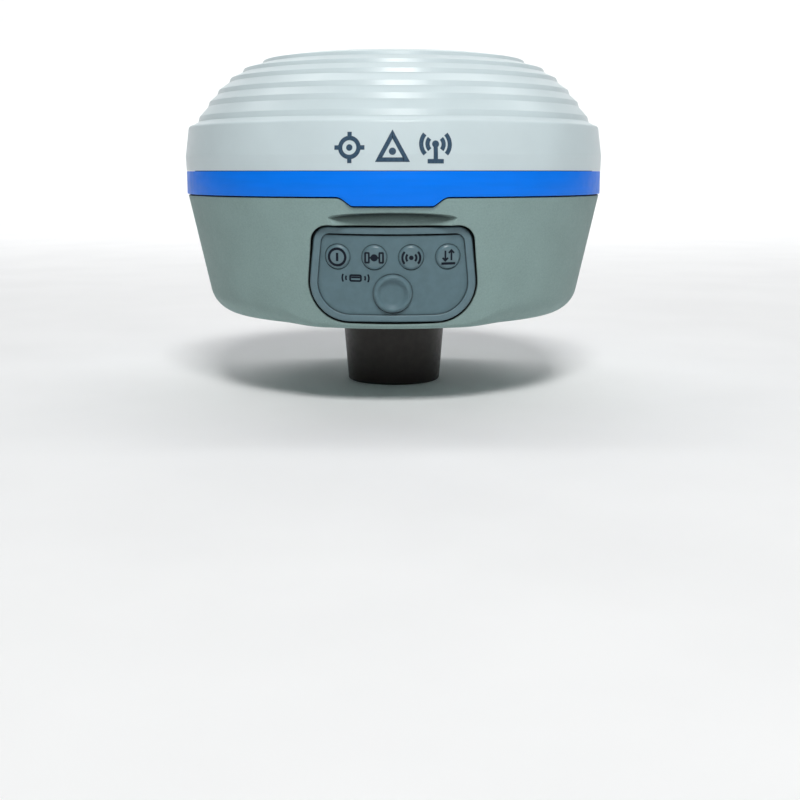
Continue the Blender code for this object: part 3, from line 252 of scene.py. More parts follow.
def turn_outline(bm, outline, angles):
    """Add the faces of a turned (radius, height) outline, which may be a function of the angle."""
    profiles = [outline(angle) if callable(outline) else outline for angle in angles]
    rings = []
    for points in zip(*profiles):
        if points[0][0] == 0:
            rings.append(float(points[0][1]))
            continue
        spots = [(r * math.cos(a), r * math.sin(a), height) for a, (r, height) in zip(angles, points)]
        rings.append([bm.verts.new(spot) for spot in spots])
    for one, other in zip(rings, rings[1:] + rings[:1]):
        if isinstance(one, float) or isinstance(other, float):
            close_pole(bm, one, other)
        else:
            join_loops(bm, one, other)


def object_from(name, bm, matrix=None, sharp=35):
    """Turn a bmesh into a smooth-shaded object whose vertices are in the row frame."""
    bmesh.ops.recalc_face_normals(bm, faces=bm.faces)
    if matrix:
        bmesh.ops.transform(bm, matrix=matrix, verts=bm.verts)
    mesh = bpy.data.meshes.new(name)
    bm.to_mesh(mesh)
    bm.free()
    mesh.shade_smooth()
    mesh.set_sharp_from_angle(angle=math.radians(sharp))
    obj = bpy.data.objects.new(name, mesh)
    bpy.context.scene.collection.objects.link(obj)
    return obj


def turned(name, outline, angles, matrix=None, places=((0, 0),), sharp=35):
    """Turn an outline round Z, at one or more (x, y) places."""
    bm = bmesh.new()
    for x, y in places:
        before = len(bm.verts)
        turn_outline(bm, outline, angles)
        bm.verts.ensure_lookup_table()
        bmesh.ops.translate(bm, vec=(x, y, 0), verts=bm.verts[before:])
    return object_from(name, bm, matrix, sharp)


def rod(radius, low, high):
    """Outline of a plain solid cylinder."""
    return [(0.0, low), (radius, low), (radius, high), (0.0, high)]


def drills(name, radius, low, high, places, sides=16):
    """Upright round pins at (x, y) places."""
    return turned(name, rod(radius, low, high), even_angles(sides), places=places)


def lofted(name, loops, matrix=None, closed=False, sharp=35):
    """Join loops of (x, y, z) points, capped at both ends, or joined end to end if closed."""
    bm = bmesh.new()
    rings = [[bm.verts.new(point) for point in loop] for loop in loops]
    for one, other in zip(rings, rings[1:]):
        join_loops(bm, one, other)
    if closed:
        join_loops(bm, rings[-1], rings[0])
    else:
        for ring in (rings[0], rings[-1]):
            hub = bm.verts.new(sum((vert.co for vert in ring), Vector()) / len(ring))
            for first, second in zip(ring, ring[1:] + ring[:1]):
                bm.faces.new((first, second, hub))
    return object_from(name, bm, matrix, sharp)


def at_depth(outline, depth):
    """Lift an (x, z) outline to 3-D; depth is a number, or a function of x and z."""
    get = depth if callable(depth) else lambda x, z: depth
    return [Vector((point[0], get(point[0], point[1]), point[1])) for point in outline]


def prism(name, outline, front, back, matrix):
    """A straight block of this outline between two depths."""
    return lofted(name, [at_depth(outline, front), at_depth(outline, back)], matrix)


def shrunk(outline, shares):
    """Copies of an outline drawn towards its middle."""
    middle = sum(outline, Vector((0, 0))) / len(outline)
    return [[middle + (point - middle) * share for point in outline] for share in shares]


def combine(obj, *cutters, operation="DIFFERENCE"):
    """Cut or join by exact Booleans, keep the result as the object's own mesh, and drop the cutters."""
    for cutter in cutters:
        modifier = obj.modifiers.new(cutter.name, "BOOLEAN")
        modifier.operation = operation
        modifier.solver = "EXACT"
        modifier.object = cutter
    evaluated = obj.evaluated_get(bpy.context.evaluated_depsgraph_get())
    mesh = bpy.data.meshes.new_from_object(evaluated)
    obj.modifiers.clear()
    obj.data = mesh
    for cutter in cutters:
        bpy.data.objects.remove(cutter, do_unlink=True)
    mesh.shade_smooth()
    mesh.set_sharp_from_angle(angle=math.radians(35))
    return obj


def dress(obj, slot, *nodes, body="receiver", finish=None):
    """Give a piece the material of its slot and its body, and hide the CAD nodes it stands for."""
    obj.data.materials.clear()
    obj.data.materials.append(FINISH[finish or slot])
    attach(obj, body)
    if nodes:
        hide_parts(*nodes)


# Materials ------------------------------------------------------------------------------------


class Finish:
    """A Principled material that is built up from procedural layers."""

    def __init__(self, name, painted_shade=None, **sockets):
        self.material = bpy.data.materials.new(name)
        self.material.use_nodes = True
        self.tree = self.material.node_tree
        self.shader = self.tree.nodes["Principled BSDF"]
        for socket, value in sockets.items():
            self.shader.inputs[socket.replace("_", " ")].default_value = value
        self.place = self.node("ShaderNodeTexCoord").outputs["Object"]
        self.bumps = []
        self.painted_shade = painted_shade  # (reach in metres, darkest share) of the painted shade that darkens hollows, gaps and creases

    def node(self, kind, **settings):
        """Add a node with attributes set."""
        made = self.tree.nodes.new(kind)
        for key, value in settings.items():
            setattr(made, key, value)
        return made

    def link(self, source, target):
        """Connect two sockets."""
        self.tree.links.new(source, target)

    def stretched(self, scale):
        """Object coordinates scaled by a different amount along each axis."""
        mapping = self.node("ShaderNodeMapping")
        mapping.inputs["Scale"].default_value = scale
        self.link(self.place, mapping.inputs["Vector"])
        return mapping.outputs["Vector"]

    def noise(self, size, detail=2.0, roughness=0.5, stretch=None):
        """Noise whose features are about this size in metres."""
        made = self.node("ShaderNodeTexNoise")
        made.inputs["Scale"].default_value = 1 / size
        made.inputs["Detail"].default_value = detail
        made.inputs["Roughness"].default_value = roughness
        self.link(self.stretched(stretch) if stretch else self.place, made.inputs["Vector"])
        return made.outputs["Fac"]

    def ramp(self, value, stops):
        """Map a value through (position, colour) stops."""
        made = self.node("ShaderNodeValToRGB")
        elements = made.color_ramp.elements
        while len(elements) < len(stops):
            elements.new(0.5)
        for element, (position, colour) in zip(elements, stops):
            element.position = position
            element.color = (*colour, 1.0)
        self.link(value, made.inputs["Fac"])
        return made.outputs["Color"]

    def painted_hollow_shade(self, source):
        """Darken a colour where the surface is hemmed in: painted shade from ambient occlusion."""
        reach, darkest = self.painted_shade
        hollow = self.node("ShaderNodeAmbientOcclusion", samples=8)
        hollow.inputs["Distance"].default_value = reach
        blend = self.node("ShaderNodeMix", data_type="RGBA", blend_type="MULTIPLY")
        blend.inputs["Factor"].default_value = 1.0
        self.link(source, blend.inputs["A"])
        # painted shade: the colour falls to the darkest share where ambient occlusion is low
        shade = self.ramp(hollow.outputs["AO"], [(0.35, (darkest,) * 3), (0.92, (1.0,) * 3)])
        self.link(shade, blend.inputs["B"])
        return blend.outputs["Result"]

    def colour(self, source):
        """Drive the base colour, with painted shade in hollows when that is set."""
        self.link(self.painted_hollow_shade(source) if self.painted_shade else source, self.shader.inputs["Base Color"])
        return self

    def mottled(self, size, dark, light, detail=3.0, low=0.35, high=0.65, stretch=None):
        """Base colour that drifts between two tones."""
        return self.colour(self.ramp(self.noise(size, detail, stretch=stretch), [(low, dark), (high, light)]))

    def roughness(self, size, low, high, stretch=None):
        """Roughness that varies between two values."""
        made = self.node("ShaderNodeMapRange")
        made.inputs["From Min"].default_value = 0.3
        made.inputs["From Max"].default_value = 0.7
        made.inputs["To Min"].default_value = low
        made.inputs["To Max"].default_value = high
        self.link(self.noise(size, 3.0, stretch=stretch), made.inputs["Value"])
        self.link(made.outputs["Result"], self.shader.inputs["Roughness"])
        return self

    def bump(self, height, depth, strength=1.0):
        """Add relief of this depth in metres on top of what is there."""
        made = self.node("ShaderNodeBump")
        made.inputs["Strength"].default_value = strength
        made.inputs["Distance"].default_value = depth
        self.link(height, made.inputs["Height"])
        if self.bumps:
            self.link(self.bumps[-1].outputs["Normal"], made.inputs["Normal"])
        self.bumps.append(made)
        self.link(made.outputs["Normal"], self.shader.inputs["Normal"])
        return self


def tones(colour, spread):
    """A darker and a lighter tone of a colour."""
    return tuple(c * (1 - spread) for c in colour), tuple(min(c * (1 + spread), 1.0) for c in colour)


def plain_finish(name, colour, drift, satin, grain=None, stretch=None, painted_shade=None, **sockets):
    """A finish in three layers, with its sizes in millimetres.

    colour holds a dark and a light tone that drift over a size, satin is (size, lowest and highest
    roughness), and grain is (size, detail, depth) of a fine relief.
    """
    # painted_shade, when given, is (reach, darkest share) of painted shade that darkens the colour in hollows
    made = Finish(name, painted_shade, **sockets)
    made.mottled(drift * MM, *colour, stretch=stretch)
    size, low, high = satin
    made.roughness(size * MM, low, high, stretch)
    if grain:
        size, detail, depth = grain
        made.bump(made.noise(size * MM, detail, stretch=stretch), depth * MM)
    return made.material


def radome_finish():
    """White satin plastic with a faint moulded skin."""
    white = tones((0.64, 0.745, 0.775), 0.02)
    # painted shade: the white darkens to 0.55 in the terrace creases and at the band's seams
    return plain_finish("radome_plastic", white, 18, (6, 0.30, 0.40), (0.5, 3, 0.004),
                        painted_shade=(2.5 * MM, 0.55), IOR=1.46, Coat_Weight=0.15, Coat_Roughness=0.25)


def trim_finish():
    """Bright blue plastic with fine streaks along the band."""
    made = Finish("trim_plastic", IOR=1.46, Specular_IOR_Level=0.2)
    made.mottled(5 * MM, *tones((0.0, 0.20, 0.94), 0.03), stretch=(0.25, 0.25, 3.0))
    made.roughness(3 * MM, 0.34, 0.46)
    made.bump(made.noise(0.6 * MM, 2.0, stretch=(0.3, 0.3, 2.0)), 0.006 * MM)
    return made.material


def housing_finish():
    """Grey-green plastic with a fine spark-eroded grain over a slow drift."""
    # painted shade: the colour falls nearly to black in the brow scoop, the keypad seam and other hollows
    made = Finish("housing_plastic", (10 * MM, 0.03), IOR=1.45, Specular_IOR_Level=0.35)
    fine = made.noise(0.45 * MM, 4.0, 0.65)
    broad = made.node("ShaderNodeMath", operation="MULTIPLY")
    made.link(made.noise(9 * MM, 3.0), broad.inputs[0])
    broad.inputs[1].default_value = 0.3
    both = made.node("ShaderNodeMath", operation="MULTIPLY_ADD")
    made.link(fine, both.inputs[0])
    both.inputs[1].default_value = 0.7
    made.link(broad.outputs[0], both.inputs[2])
    dark, light = tones((0.262, 0.372, 0.358), 0.09)
    made.colour(made.ramp(both.outputs[0], [(0.36, dark), (0.64, light)]))
    made.roughness(1.5 * MM, 0.52, 0.68)
    made.bump(fine, 0.03 * MM, 0.8)
    return made.material


def keypad_border_finish():
    """Blue-grey satin plastic."""
    grey = tones((0.122, 0.200, 0.232), 0.05)
    # painted shade: the colour darkens to a tenth in the gaps and under the border's edges
    return plain_finish("keypad_plastic", grey, 3, (2, 0.36, 0.5), (0.3, 3, 0.008),
                        painted_shade=(1.2 * MM, 0.1), IOR=1.45)


def keypad_rubber_finish():
    """Blue-grey silicone with a soft powdery grain."""
    grey = tones((0.106, 0.180, 0.210), 0.05)
    # painted shade: the colour darkens to a tenth round the lenses, the button and the border's foot
    return plain_finish("keypad_rubber", grey, 2.5, (1.5, 0.48, 0.62), (0.25, 3, 0.01),
                        painted_shade=(1.2 * MM, 0.1), IOR=1.42, Sheen_Weight=0.08, Sheen_Roughness=0.5)


def lens_finish():
    """Milky blue-grey light guide."""
    grey = tones((0.112, 0.188, 0.218), 0.04)
    # painted shade: the colour darkens to a tenth in the gap round each lens
    return plain_finish("lens_plastic", grey, 1.5, (1, 0.30, 0.42), (0.3, 2, 0.004),
                        painted_shade=(0.8 * MM, 0.1), IOR=1.5, Coat_Weight=0.1, Coat_Roughness=0.2)


def ink_finish():
    """Navy-black printing ink with slightly uneven coverage."""
    navy = (0.003, 0.006, 0.014), (0.006, 0.011, 0.022)
    return plain_finish("printing_ink", navy, 0.5, (0.6, 0.45, 0.6), (0.15, 2, 0.006),
                        IOR=1.45, Specular_IOR_Level=0.2)


def band_ink_finish():
    """Slate-blue ink of the symbols on the white band."""
    slate = (0.032, 0.070, 0.118), (0.048, 0.094, 0.150)
    return plain_finish("band_ink", slate, 0.6, (0.6, 0.4, 0.55), (0.15, 2, 0.006),
                        IOR=1.45, Specular_IOR_Level=0.3)


def neck_finish():
    """Near-black satin plastic with faint turning lines."""
    made = Finish("neck_plastic", IOR=1.46)
    made.mottled(2 * MM, (0.020, 0.014, 0.012), (0.026, 0.019, 0.016))
    made.roughness(1.5 * MM, 0.34, 0.5)
    made.bump(made.noise(0.5 * MM, 2.0, stretch=(0.1, 0.1, 3.0)), 0.02 * MM, 0.6)
    return made.material


def metal_finish(name, colour, spread, low, high, grain):
    """Metal with fine machining lines; grain stretches its noise."""
    metal = tones(colour, spread)
    return plain_finish(name, metal, 0.8, (0.5, low, high), (0.2, 2, 0.004), grain, Metallic=1.0)


def rubber_finish(name, tone=0.016):
    """Black moulded rubber with a dusty bloom."""
    black = (tone * 0.7,) * 3, (tone * 1.6,) * 3
    return plain_finish(name, black, 2, (1, 0.6, 0.85), (0.2, 3, 0.02), IOR=1.5, Sheen_Weight=0.1)


def black_plastic_finish():
    """Black moulded plastic."""
    black = (0.012, 0.012, 0.013), (0.026, 0.026, 0.028)
    return plain_finish("black_plastic", black, 3, (2, 0.4, 0.6), (0.3, 3, 0.012), IOR=1.46)


def board_finish():
    """Green solder mask over a net of copper tracks."""
    made = Finish("circuit_board", IOR=1.5, Coat_Weight=0.4, Coat_Roughness=0.15)
    cells = made.node("ShaderNodeTexVoronoi", feature="DISTANCE_TO_EDGE", distance="MANHATTAN")
    cells.inputs["Scale"].default_value = 1 / (2.4 * MM)
    made.link(made.place, cells.inputs["Vector"])
    tracks = cells.outputs["Distance"]
    made.colour(made.ramp(tracks, [(0.04, (0.03, 0.22, 0.09)), (0.10, (0.008, 0.09, 0.035))]))
    made.roughness(2 * MM, 0.3, 0.45)
    made.bump(tracks, 0.03 * MM, 0.4)
    return made.material


def ceramic_finish():
    """Pale microwave ceramic with fine pores."""
    cream = (0.44, 0.40, 0.33), (0.60, 0.56, 0.48)
    return plain_finish("patch_ceramic", cream, 0.7, (1, 0.45, 0.65), (0.15, 3, 0.01), IOR=1.6)


def cell_finish():
    """Blue shrink sleeve with soft wrinkles."""
    made = Finish("cell_sleeve", IOR=1.5)
    made.mottled(6 * MM, (0.008, 0.07, 0.18), (0.014, 0.11, 0.26))
    made.roughness(3 * MM, 0.25, 0.4)
    made.bump(made.noise(3 * MM, 2.0, stretch=(0.3, 1.5, 1.5)), 0.06 * MM, 0.5)
    return made.material


def ribbon_finish():
    """Amber polyimide film with parallel conductors."""
    made = Finish("ribbon_film", IOR=1.6)
    lines = made.node("ShaderNodeTexWave", wave_type="BANDS", bands_direction="X")
    lines.inputs["Scale"].default_value = 1 / (3.2 * MM)
    made.link(made.place, lines.inputs["Vector"])
    made.colour(made.ramp(lines.outputs["Fac"], [(0.4, (0.42, 0.17, 0.02)), (0.6, (0.66, 0.34, 0.07))]))
    made.roughness(1 * MM, 0.25, 0.4)
    return made.material


def led_finish():
    """Pale epoxy of a surface-mount LED."""
    cream = (0.66, 0.62, 0.44), (0.82, 0.80, 0.68)
    return plain_finish("led_epoxy", cream, 0.4, (0.4, 0.2, 0.35), IOR=1.5, Coat_Weight=0.5)


def label_finish():
    """Blank silver label film with a brushed look."""
    silver = (0.45, 0.47, 0.48), (0.58, 0.60, 0.61)
    brushed = (0.05, 1.0, 1.0)
    return plain_finish("label_film", silver, 0.6, (0.6, 0.35, 0.5), stretch=brushed, IOR=1.45, Metallic=0.3)


def floor_finish():
    """Plain pale studio paper."""
    pale = (0.86, 0.865, 0.87), (0.885, 0.89, 0.895)
    return plain_finish("studio_paper", pale, 60, (30, 0.75, 0.85), (0.8, 3, 0.01))


def all_finishes():
    """One material for each slot of the record, and the inks and paper."""
    return {
        "radome": radome_finish(),
        "trim": trim_finish(),
        "housing": housing_finish(),
        "neck": neck_finish(),
        "keypad_border": keypad_border_finish(),
        "keypad_rubber": keypad_rubber_finish(),
        "lens": lens_finish(),
        "seal": rubber_finish("seal_rubber"),
        "coax_jacket": rubber_finish("coax_jacket", 0.02),
        "steel": metal_finish("stainless_steel", (0.56, 0.56, 0.57), 0.08, 0.22, 0.36, (1, 1, 6)),
        "brass": metal_finish("machined_brass", (0.74, 0.52, 0.24), 0.10, 0.2, 0.34, (0.4, 0.4, 6)),
        "tinned_steel": metal_finish("tinned_steel", (0.62, 0.63, 0.65), 0.05, 0.28, 0.4, (2, 0.3, 1)),
        "copper": metal_finish("copper_wire", (0.76, 0.34, 0.19), 0.08, 0.25, 0.4, (1, 1, 1)),
        "black_plastic": black_plastic_finish(),
        "circuit_board": board_finish(),
        "ceramic": ceramic_finish(),
        "cell": cell_finish(),
        "ribbon": ribbon_finish(),
        "led": led_finish(),
        "label": label_finish(),
        "ink": ink_finish(),
        "band_ink": band_ink_finish(),
        "floor": floor_finish(),
    }


FINISH = all_finishes()


def dress_cad_nodes():
    """Every CAD node that stays gets the procedural material of its slot."""
    for name, obj in frame["nodes"].items():
        for slot in obj.material_slots:
            slot.material = FINISH[SLOT_OF[name]]


# Local frames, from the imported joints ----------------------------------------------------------


def middle_of(node):
    """Middle of a CAD node's box."""
    low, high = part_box(node)
    return (Vector(low) + Vector(high)) / 2


def keypad_matrix():
    """The keypad's frame: tilted as the button's slide, and placed by its switch."""
    axis = Vector(JOINTS["power_button_press"]["axis"])
    turn = Matrix.Rotation(math.atan2(axis.z, axis.y), 4, "X")
    switch = turn @ Vector((0, SWITCH_MIDDLE, BUTTON_ROW))
    return Matrix.Translation(middle_of("tact_switch") - switch) @ turn


def port_matrix():
    """The rear port's frame: leaning as the door's hinge, and placed by it."""
    hinge = JOINTS["port_door_hinge"]
    axis = -Vector(hinge["axis"])
    turn = Matrix.Rotation(math.pi, 4, "Z") @ Matrix.Rotation(math.atan2(axis.y, axis.z), 4, "X")
    arm = turn @ Vector((HINGE_X, HINGE_DEPTH, 0))
    return Matrix.Translation(Vector(hinge["pos_m"]) - arm) @ turn


KEYPAD = keypad_matrix()
PORT = port_matrix()
HINGE = PORT @ Matrix.Translation((HINGE_X, HINGE_DEPTH, 0))
OUTWARDS = Matrix.Rotation(math.pi / 2, 4, "X")  # turns +Z to -Y, so that heights run out of a panel


# Radome ---------------------------------------------------------------------------------------


def dome_height(radius, inset=0.0):
    """Height of the dome's smooth base curve."""
    share = min(radius / (DOME_RADIUS - inset), 1.0)
    rise = (CROWN - BAND_TOP - DOME_FOOT - inset) * (1 - share**DOME_POWER) ** DOME_ROUNDNESS
    return BAND_TOP + DOME_FOOT + rise


def filleted(points, steps=4):
    """An open path of (x, z, radius) points with its corners rounded, as plain pairs."""
    spots = [Vector(point[:2]) for point in points]
    path = [spots[0]]
    for before, corner, after, point in zip(spots, spots[1:], spots[2:], points[1:]):
        path += corner_arc(before, corner, after, point[2], steps)
    return [(spot.x, spot.y) for spot in [*path, spots[-1]]]


def radome_outline():
    """Fine profile of the radome: terraced outside, plain inside."""
    edge = 0.35 * MM
    crease = 0.22 * MM
    flange = SPIGOT_RADIUS - SPIGOT_WALL - GAP
    outer = [
        (SPIGOT_RADIUS + GAP, BAND_TOP + RIM_GAP, 0),
        (BODY_RADIUS - BAND_FOOT_INSET, BAND_TOP + RIM_GAP, 0.2 * MM),
        (BODY_RADIUS, BAND_TOP + BAND_FULL_HEIGHT, 2.0 * MM),
        (BAND_LIP_RADIUS, BAND_TOP + BAND_LIP_HEIGHT, 1.0 * MM),
        (SHOULDER_RADIUS, BAND_TOP + SHOULDER_HEIGHT + 0.1 * MM, 0),
    ]
    for radius in reversed(TERRACE_RADII):
        foot = radius + TERRACE_RUN
        outer.append((foot, dome_height(foot) - TERRACE_STEP / 2, crease))
        outer.append((radius, dome_height(radius) + TERRACE_STEP / 3, edge))
    outer += [(radius * MM, dome_height(radius * MM), 0) for radius in range(36, 0, -4)]
    outer.append((0, dome_height(0), 0))
    inner = [(0.0, dome_height(0, RADOME_WALL))]
    for radius in (12.0, 22.0, 30.0, 37.0, 43.0, 48.0, 52.0, 55.0, 57.5, 59.8):
        inner.append((radius * MM, dome_height(radius * MM, RADOME_WALL) - 0.4 * MM))
    inner += [
        (SPIGOT_RADIUS - MM, BAND_TOP + SHOULDER_HEIGHT - 3.2 * MM),
        (SPIGOT_RADIUS, BAND_TOP + 5.4 * MM),
        (flange, BAND_TOP + FLANGE_TOP),
        (flange, BAND_TOP + FLANGE_BOTTOM),
        (SPIGOT_RADIUS + GAP, BAND_TOP + FLANGE_BOTTOM),
    ]
    return filleted(outer) + inner


def make_radome():
    """White terraced cover."""
    cover = turned("radome_shell", radome_outline(), even_angles(180), sharp=50)
    dress(cover, "radome", "radome_cover")


# Trim ring ------------------------------------------------------------------------------------


def soft_ramp(value, rounding):
    """0 below 0 and the value above it, with the corner rounded."""
    if value <= -rounding:
        return 0.0
    if value >= rounding:
        return value
    return (value + rounding) ** 2 / (4 * rounding)


def tab_drop(angle):
    """How far the trim's lower edge drops at this angle."""
    if math.sin(angle) > 0:
        return 0.0
    across = abs(TRIM_RADIUS * math.cos(angle))
    start = soft_ramp(across - TAB_HALF_BOTTOM, TAB_BOTTOM_ROUNDING)
    end = soft_ramp(across - TAB_HALF_TOP, TAB_TOP_ROUNDING)
    return TAB_DROP * (1 - (start - end) / (TAB_HALF_TOP - TAB_HALF_BOTTOM))


def make_trim_ring():
    """Blue band with softened edges and its tab."""

    def outline(angle):
        low = BAND_TOP - TRIM_HEIGHT - tab_drop(angle)
        inner = TRIM_RADIUS - TRIM_WALL
        path = [
            (inner, low, 0),
            (TRIM_RADIUS, low, 0.25 * MM),
            (TRIM_RADIUS, BAND_TOP, 0.2 * MM),
            (inner, BAND_TOP, 0),
        ]
        return filleted(path, 3)

    band = turned("trim_band", outline, front_angles())
    dress(band, "trim", "trim_ring")


# Lower housing --------------------------------------------------------------------------------


def wall_radius(height):
    """Outer radius of the tapered wall."""
    return HOUSING_TOP_RADIUS - (HOUSING_TOP - height) * math.tan(TAPER)


def wall_depth(matrix):
    """A function of (x, z) in a panel's frame: the y at which the housing's wall lies."""

    def depth(x, z):
        low, high = OUTSIDE, -OUTSIDE
        for _ in range(BISECTIONS):
            y = (low + high) / 2
            spot = matrix @ Vector((x, y, z))
            if math.hypot(spot.x, spot.y) > wall_radius(spot.z):
                low = y
            else:
                high = y
        return (low + high) / 2

    return depth


def corner_radius(angle):
    """Radius of the lower corner, tighter below the keypad."""
    if math.sin(angle) > 0:
        return CORNER_RADIUS
    across = abs(wall_radius(HOUSING_BOTTOM) * math.cos(angle))
    share = (across - FRONT_CORNER_HALF) / (FRONT_CORNER_END - FRONT_CORNER_HALF)
    share = min(max(share, 0.0), 1.0)
    share = share * share * (3 - 2 * share)
    return FRONT_CORNER_RADIUS + (CORNER_RADIUS - FRONT_CORNER_RADIUS) * share


def lower_corner(radius, bottom, inset=0.0, steps=10):
    """Arc from the flat floor round to the tapered wall."""
    wall = wall_radius(bottom) - inset
    centre = wall + radius * math.tan(TAPER) - radius / math.cos(TAPER)
    start, end = -math.pi / 2, -TAPER
    turns = [start + (end - start) * step / steps for step in range(steps + 1)]
    return [(centre + radius * math.cos(turn), bottom + radius + radius * math.sin(turn)) for turn in turns]


def housing_outline(angle):
    """Solid outer form of the housing, its upper edge softened."""
    shoulder = HOUSING_TOP - tab_drop(angle)
    edge = 0.3 * MM
    return [
        (0.0, HOUSING_BOTTOM),
        *lower_corner(corner_radius(angle), HOUSING_BOTTOM),
        (wall_radius(shoulder - edge), shoulder - edge),
        (wall_radius(shoulder) - 0.3 * edge, shoulder - 0.3 * edge),
        (wall_radius(shoulder) - edge, shoulder),
        (SPIGOT_RADIUS, shoulder),
        (SPIGOT_RADIUS, SPIGOT_TOP),
        (0.0, SPIGOT_TOP),
    ]


def on_ring(radius, count, start):
    """(x, y) places round a circle, from a start angle in degrees."""
    angles = [math.radians(start) + math.tau * index / count for index in range(count)]
    return [(radius * math.cos(angle), radius * math.sin(angle)) for angle in angles]


def screw_places(stem):
    """(x, y) of each numbered screw, from the frame."""
    return [tuple(middle_of(f"{stem}_{number}")[:2]) for number in range(1, 5)]


def mirrored_outline(upper, lower, straight=1):
    """A rounded outline that is alike on both sides, from its two right-hand corners."""
    corners = [upper, lower, (-lower[0], *lower[1:]), (-upper[0], *upper[1:])]
    return rounded_outline(corners, straight=straight)


def keypad_outline(grow=0.0):
    """The keypad's outer outline."""
    upper = (KEYPAD_HALF_TOP + grow, KEYPAD_HIGH + grow, KEYPAD_TOP_CORNER + grow)
    lower = (KEYPAD_HALF_BOTTOM + grow, KEYPAD_LOW - grow, KEYPAD_BOTTOM_CORNER + grow)
    return mirrored_outline(upper, lower, 16)


def field_outline(shrink=0.0):
    """The recessed field inside the keypad's border."""
    sides = BORDER_SIDES + shrink
    ends = BORDER_ENDS + shrink
    upper = (KEYPAD_HALF_TOP - sides, KEYPAD_HIGH - ends, FIELD_TOP_CORNER - shrink)
    lower = (KEYPAD_HALF_BOTTOM - sides, KEYPAD_LOW + ends, FIELD_BOTTOM_CORNER - shrink)
    return mirrored_outline(upper, lower, 16)


def keypad_surface(extra):
    """Depth of the keypad's curved surface plus an extra depth."""
    return lambda x, z: sag(x, KEYPAD_CURVE) + extra


def pocket_cutter(name, outline_at, matrix, gap, flare, floor, inner_rings):
    """Cutter for a pocket whose mouth flares to a small chamfer where it meets the wall."""
    depth = wall_depth(matrix)
    mouth = outline_at(gap + flare)
    neck = outline_at(gap)
    loops = [
        at_depth(mouth, OUTSIDE),
        at_depth(mouth, lambda x, z: depth(x, z) - 0.02 * MM),
        at_depth(neck, lambda x, z: depth(x, z) + 0.8 * flare),
        at_depth(neck, floor),
    ]
    loops += [at_depth(ring, floor) for ring in shrunk(neck, inner_rings)]
    return lofted(name, loops, matrix)


def quad_sheet(bm, grid):
    """Faces between neighbouring rows of a grid of vertices."""
    for one, other in zip(grid, grid[1:]):
        for a, b, c, d in zip(one, one[1:], other[1:], other):
            bm.faces.new((a, b, c, d))


def brow_depth(x, drop, height):
    """Depth of the brow's cove: overhung at its upper edge, sloping out below, fading at both ends."""
    curl = max(0.0, 1 - drop / BROW_CURL)
    overhang = (BROW_LIFT + BROW_HOLLOW) * (1 - math.sqrt(1 - curl * curl))
    hollow = BROW_HOLLOW * (1 - drop / height) ** 2
    ends = (BROW_LIFT + BROW_HOLLOW) * (abs(x) / BROW_HALF_WIDTH) ** BROW_FADE
    return sag(x, KEYPAD_CURVE) - GAP + max(hollow - overhang - ends, -BROW_LIFT)


def brow_cutter():
    """Scoop above the keypad."""
    low = KEYPAD_HIGH - 1.0 * MM
    columns, rows = 60, 24
    bm = bmesh.new()
    back, face = [], []
    for step in range(columns + 1):
        share = 2 * step / columns - 1
        x = BROW_HALF_WIDTH * share
        top = KEYPAD_HIGH + BROW_TOP - BROW_BOW * share * share
        heights = [top + (low - top) * (row / rows) ** 1.5 for row in range(rows + 1)]
        back.append([bm.verts.new((x, brow_depth(x, top - z, top - low), z)) for z in heights])
        face.append([bm.verts.new((x, OUTSIDE, z)) for z in heights])
    quad_sheet(bm, back)
    quad_sheet(bm, face)
    for end in (0, -1):
        quad_sheet(bm, [back[end], face[end]])
        quad_sheet(bm, [[column[end] for column in back], [column[end] for column in face]])
    return object_from("brow_cutter", bm, KEYPAD)


def port_outline(grow=0.0):
    """The port pocket's outline, wider on its hinge side so that the door can swing."""
    left = HINGE_X - HINGE_CLEARANCE - grow
    right = PORT_HALF_WIDTH + GAP + grow
    middle = ((left + right) / 2, 0.0)
    return rounded_rectangle((right - left) / 2, PORT_HALF_HEIGHT + GAP + grow, 0.8 * MM + grow, middle)


def housing_cavity():
    """The hollow inside the housing, less the posts and the two trays that stand in it."""
    floor = HOUSING_BOTTOM + FLOOR
    spigot_inner = SPIGOT_RADIUS - SPIGOT_WALL
    wall_inner = HOUSING_WALL / math.cos(TAPER)
    knee = HOUSING_TOP - 3.2 * MM
    outline = [
        (0.0, floor),
        *lower_corner(6 * MM, floor, wall_inner, 5),
        (wall_radius(knee) - wall_inner, knee),
        (spigot_inner, HOUSING_TOP - TAB_DROP),
        (spigot_inner, SPIGOT_TOP + 2 * MM),
        (0.0, SPIGOT_TOP + 2 * MM),
    ]
    cavity = turned("cavity", outline, even_angles(96))
    post_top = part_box("radome_cover")[0].z - GAP
    posts = drills("posts", 4 * MM, floor - MM, post_top, screw_places("housing_screw"), 24)
    foot_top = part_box("inner_frame")[0].z - GAP
    feet = drills("feet", 2.7 * MM, floor - MM, foot_top, screw_places("frame_screw"))
    tray = prism("tray", keypad_outline(2.4 * MM), OUTSIDE, TRAY_DEPTH, KEYPAD)
    brow_line = rounded_rectangle(BROW_HALF_WIDTH, 4.5 * MM, MM, (0.0, KEYPAD_HIGH + 2.5 * MM), 4, 8)
    brow = prism("brow_back", brow_line, OUTSIDE, keypad_surface(BROW_BACKING), KEYPAD)
    port_line = rounded_rectangle(PORT_HALF_WIDTH + 3.4 * MM, PORT_HALF_HEIGHT + 2.6 * MM, 2.5 * MM)
    shelf = prism("shelf", port_line, OUTSIDE, TRAY_DEPTH, PORT)
    return combine(cavity, posts, feet, tray, brow, shelf)


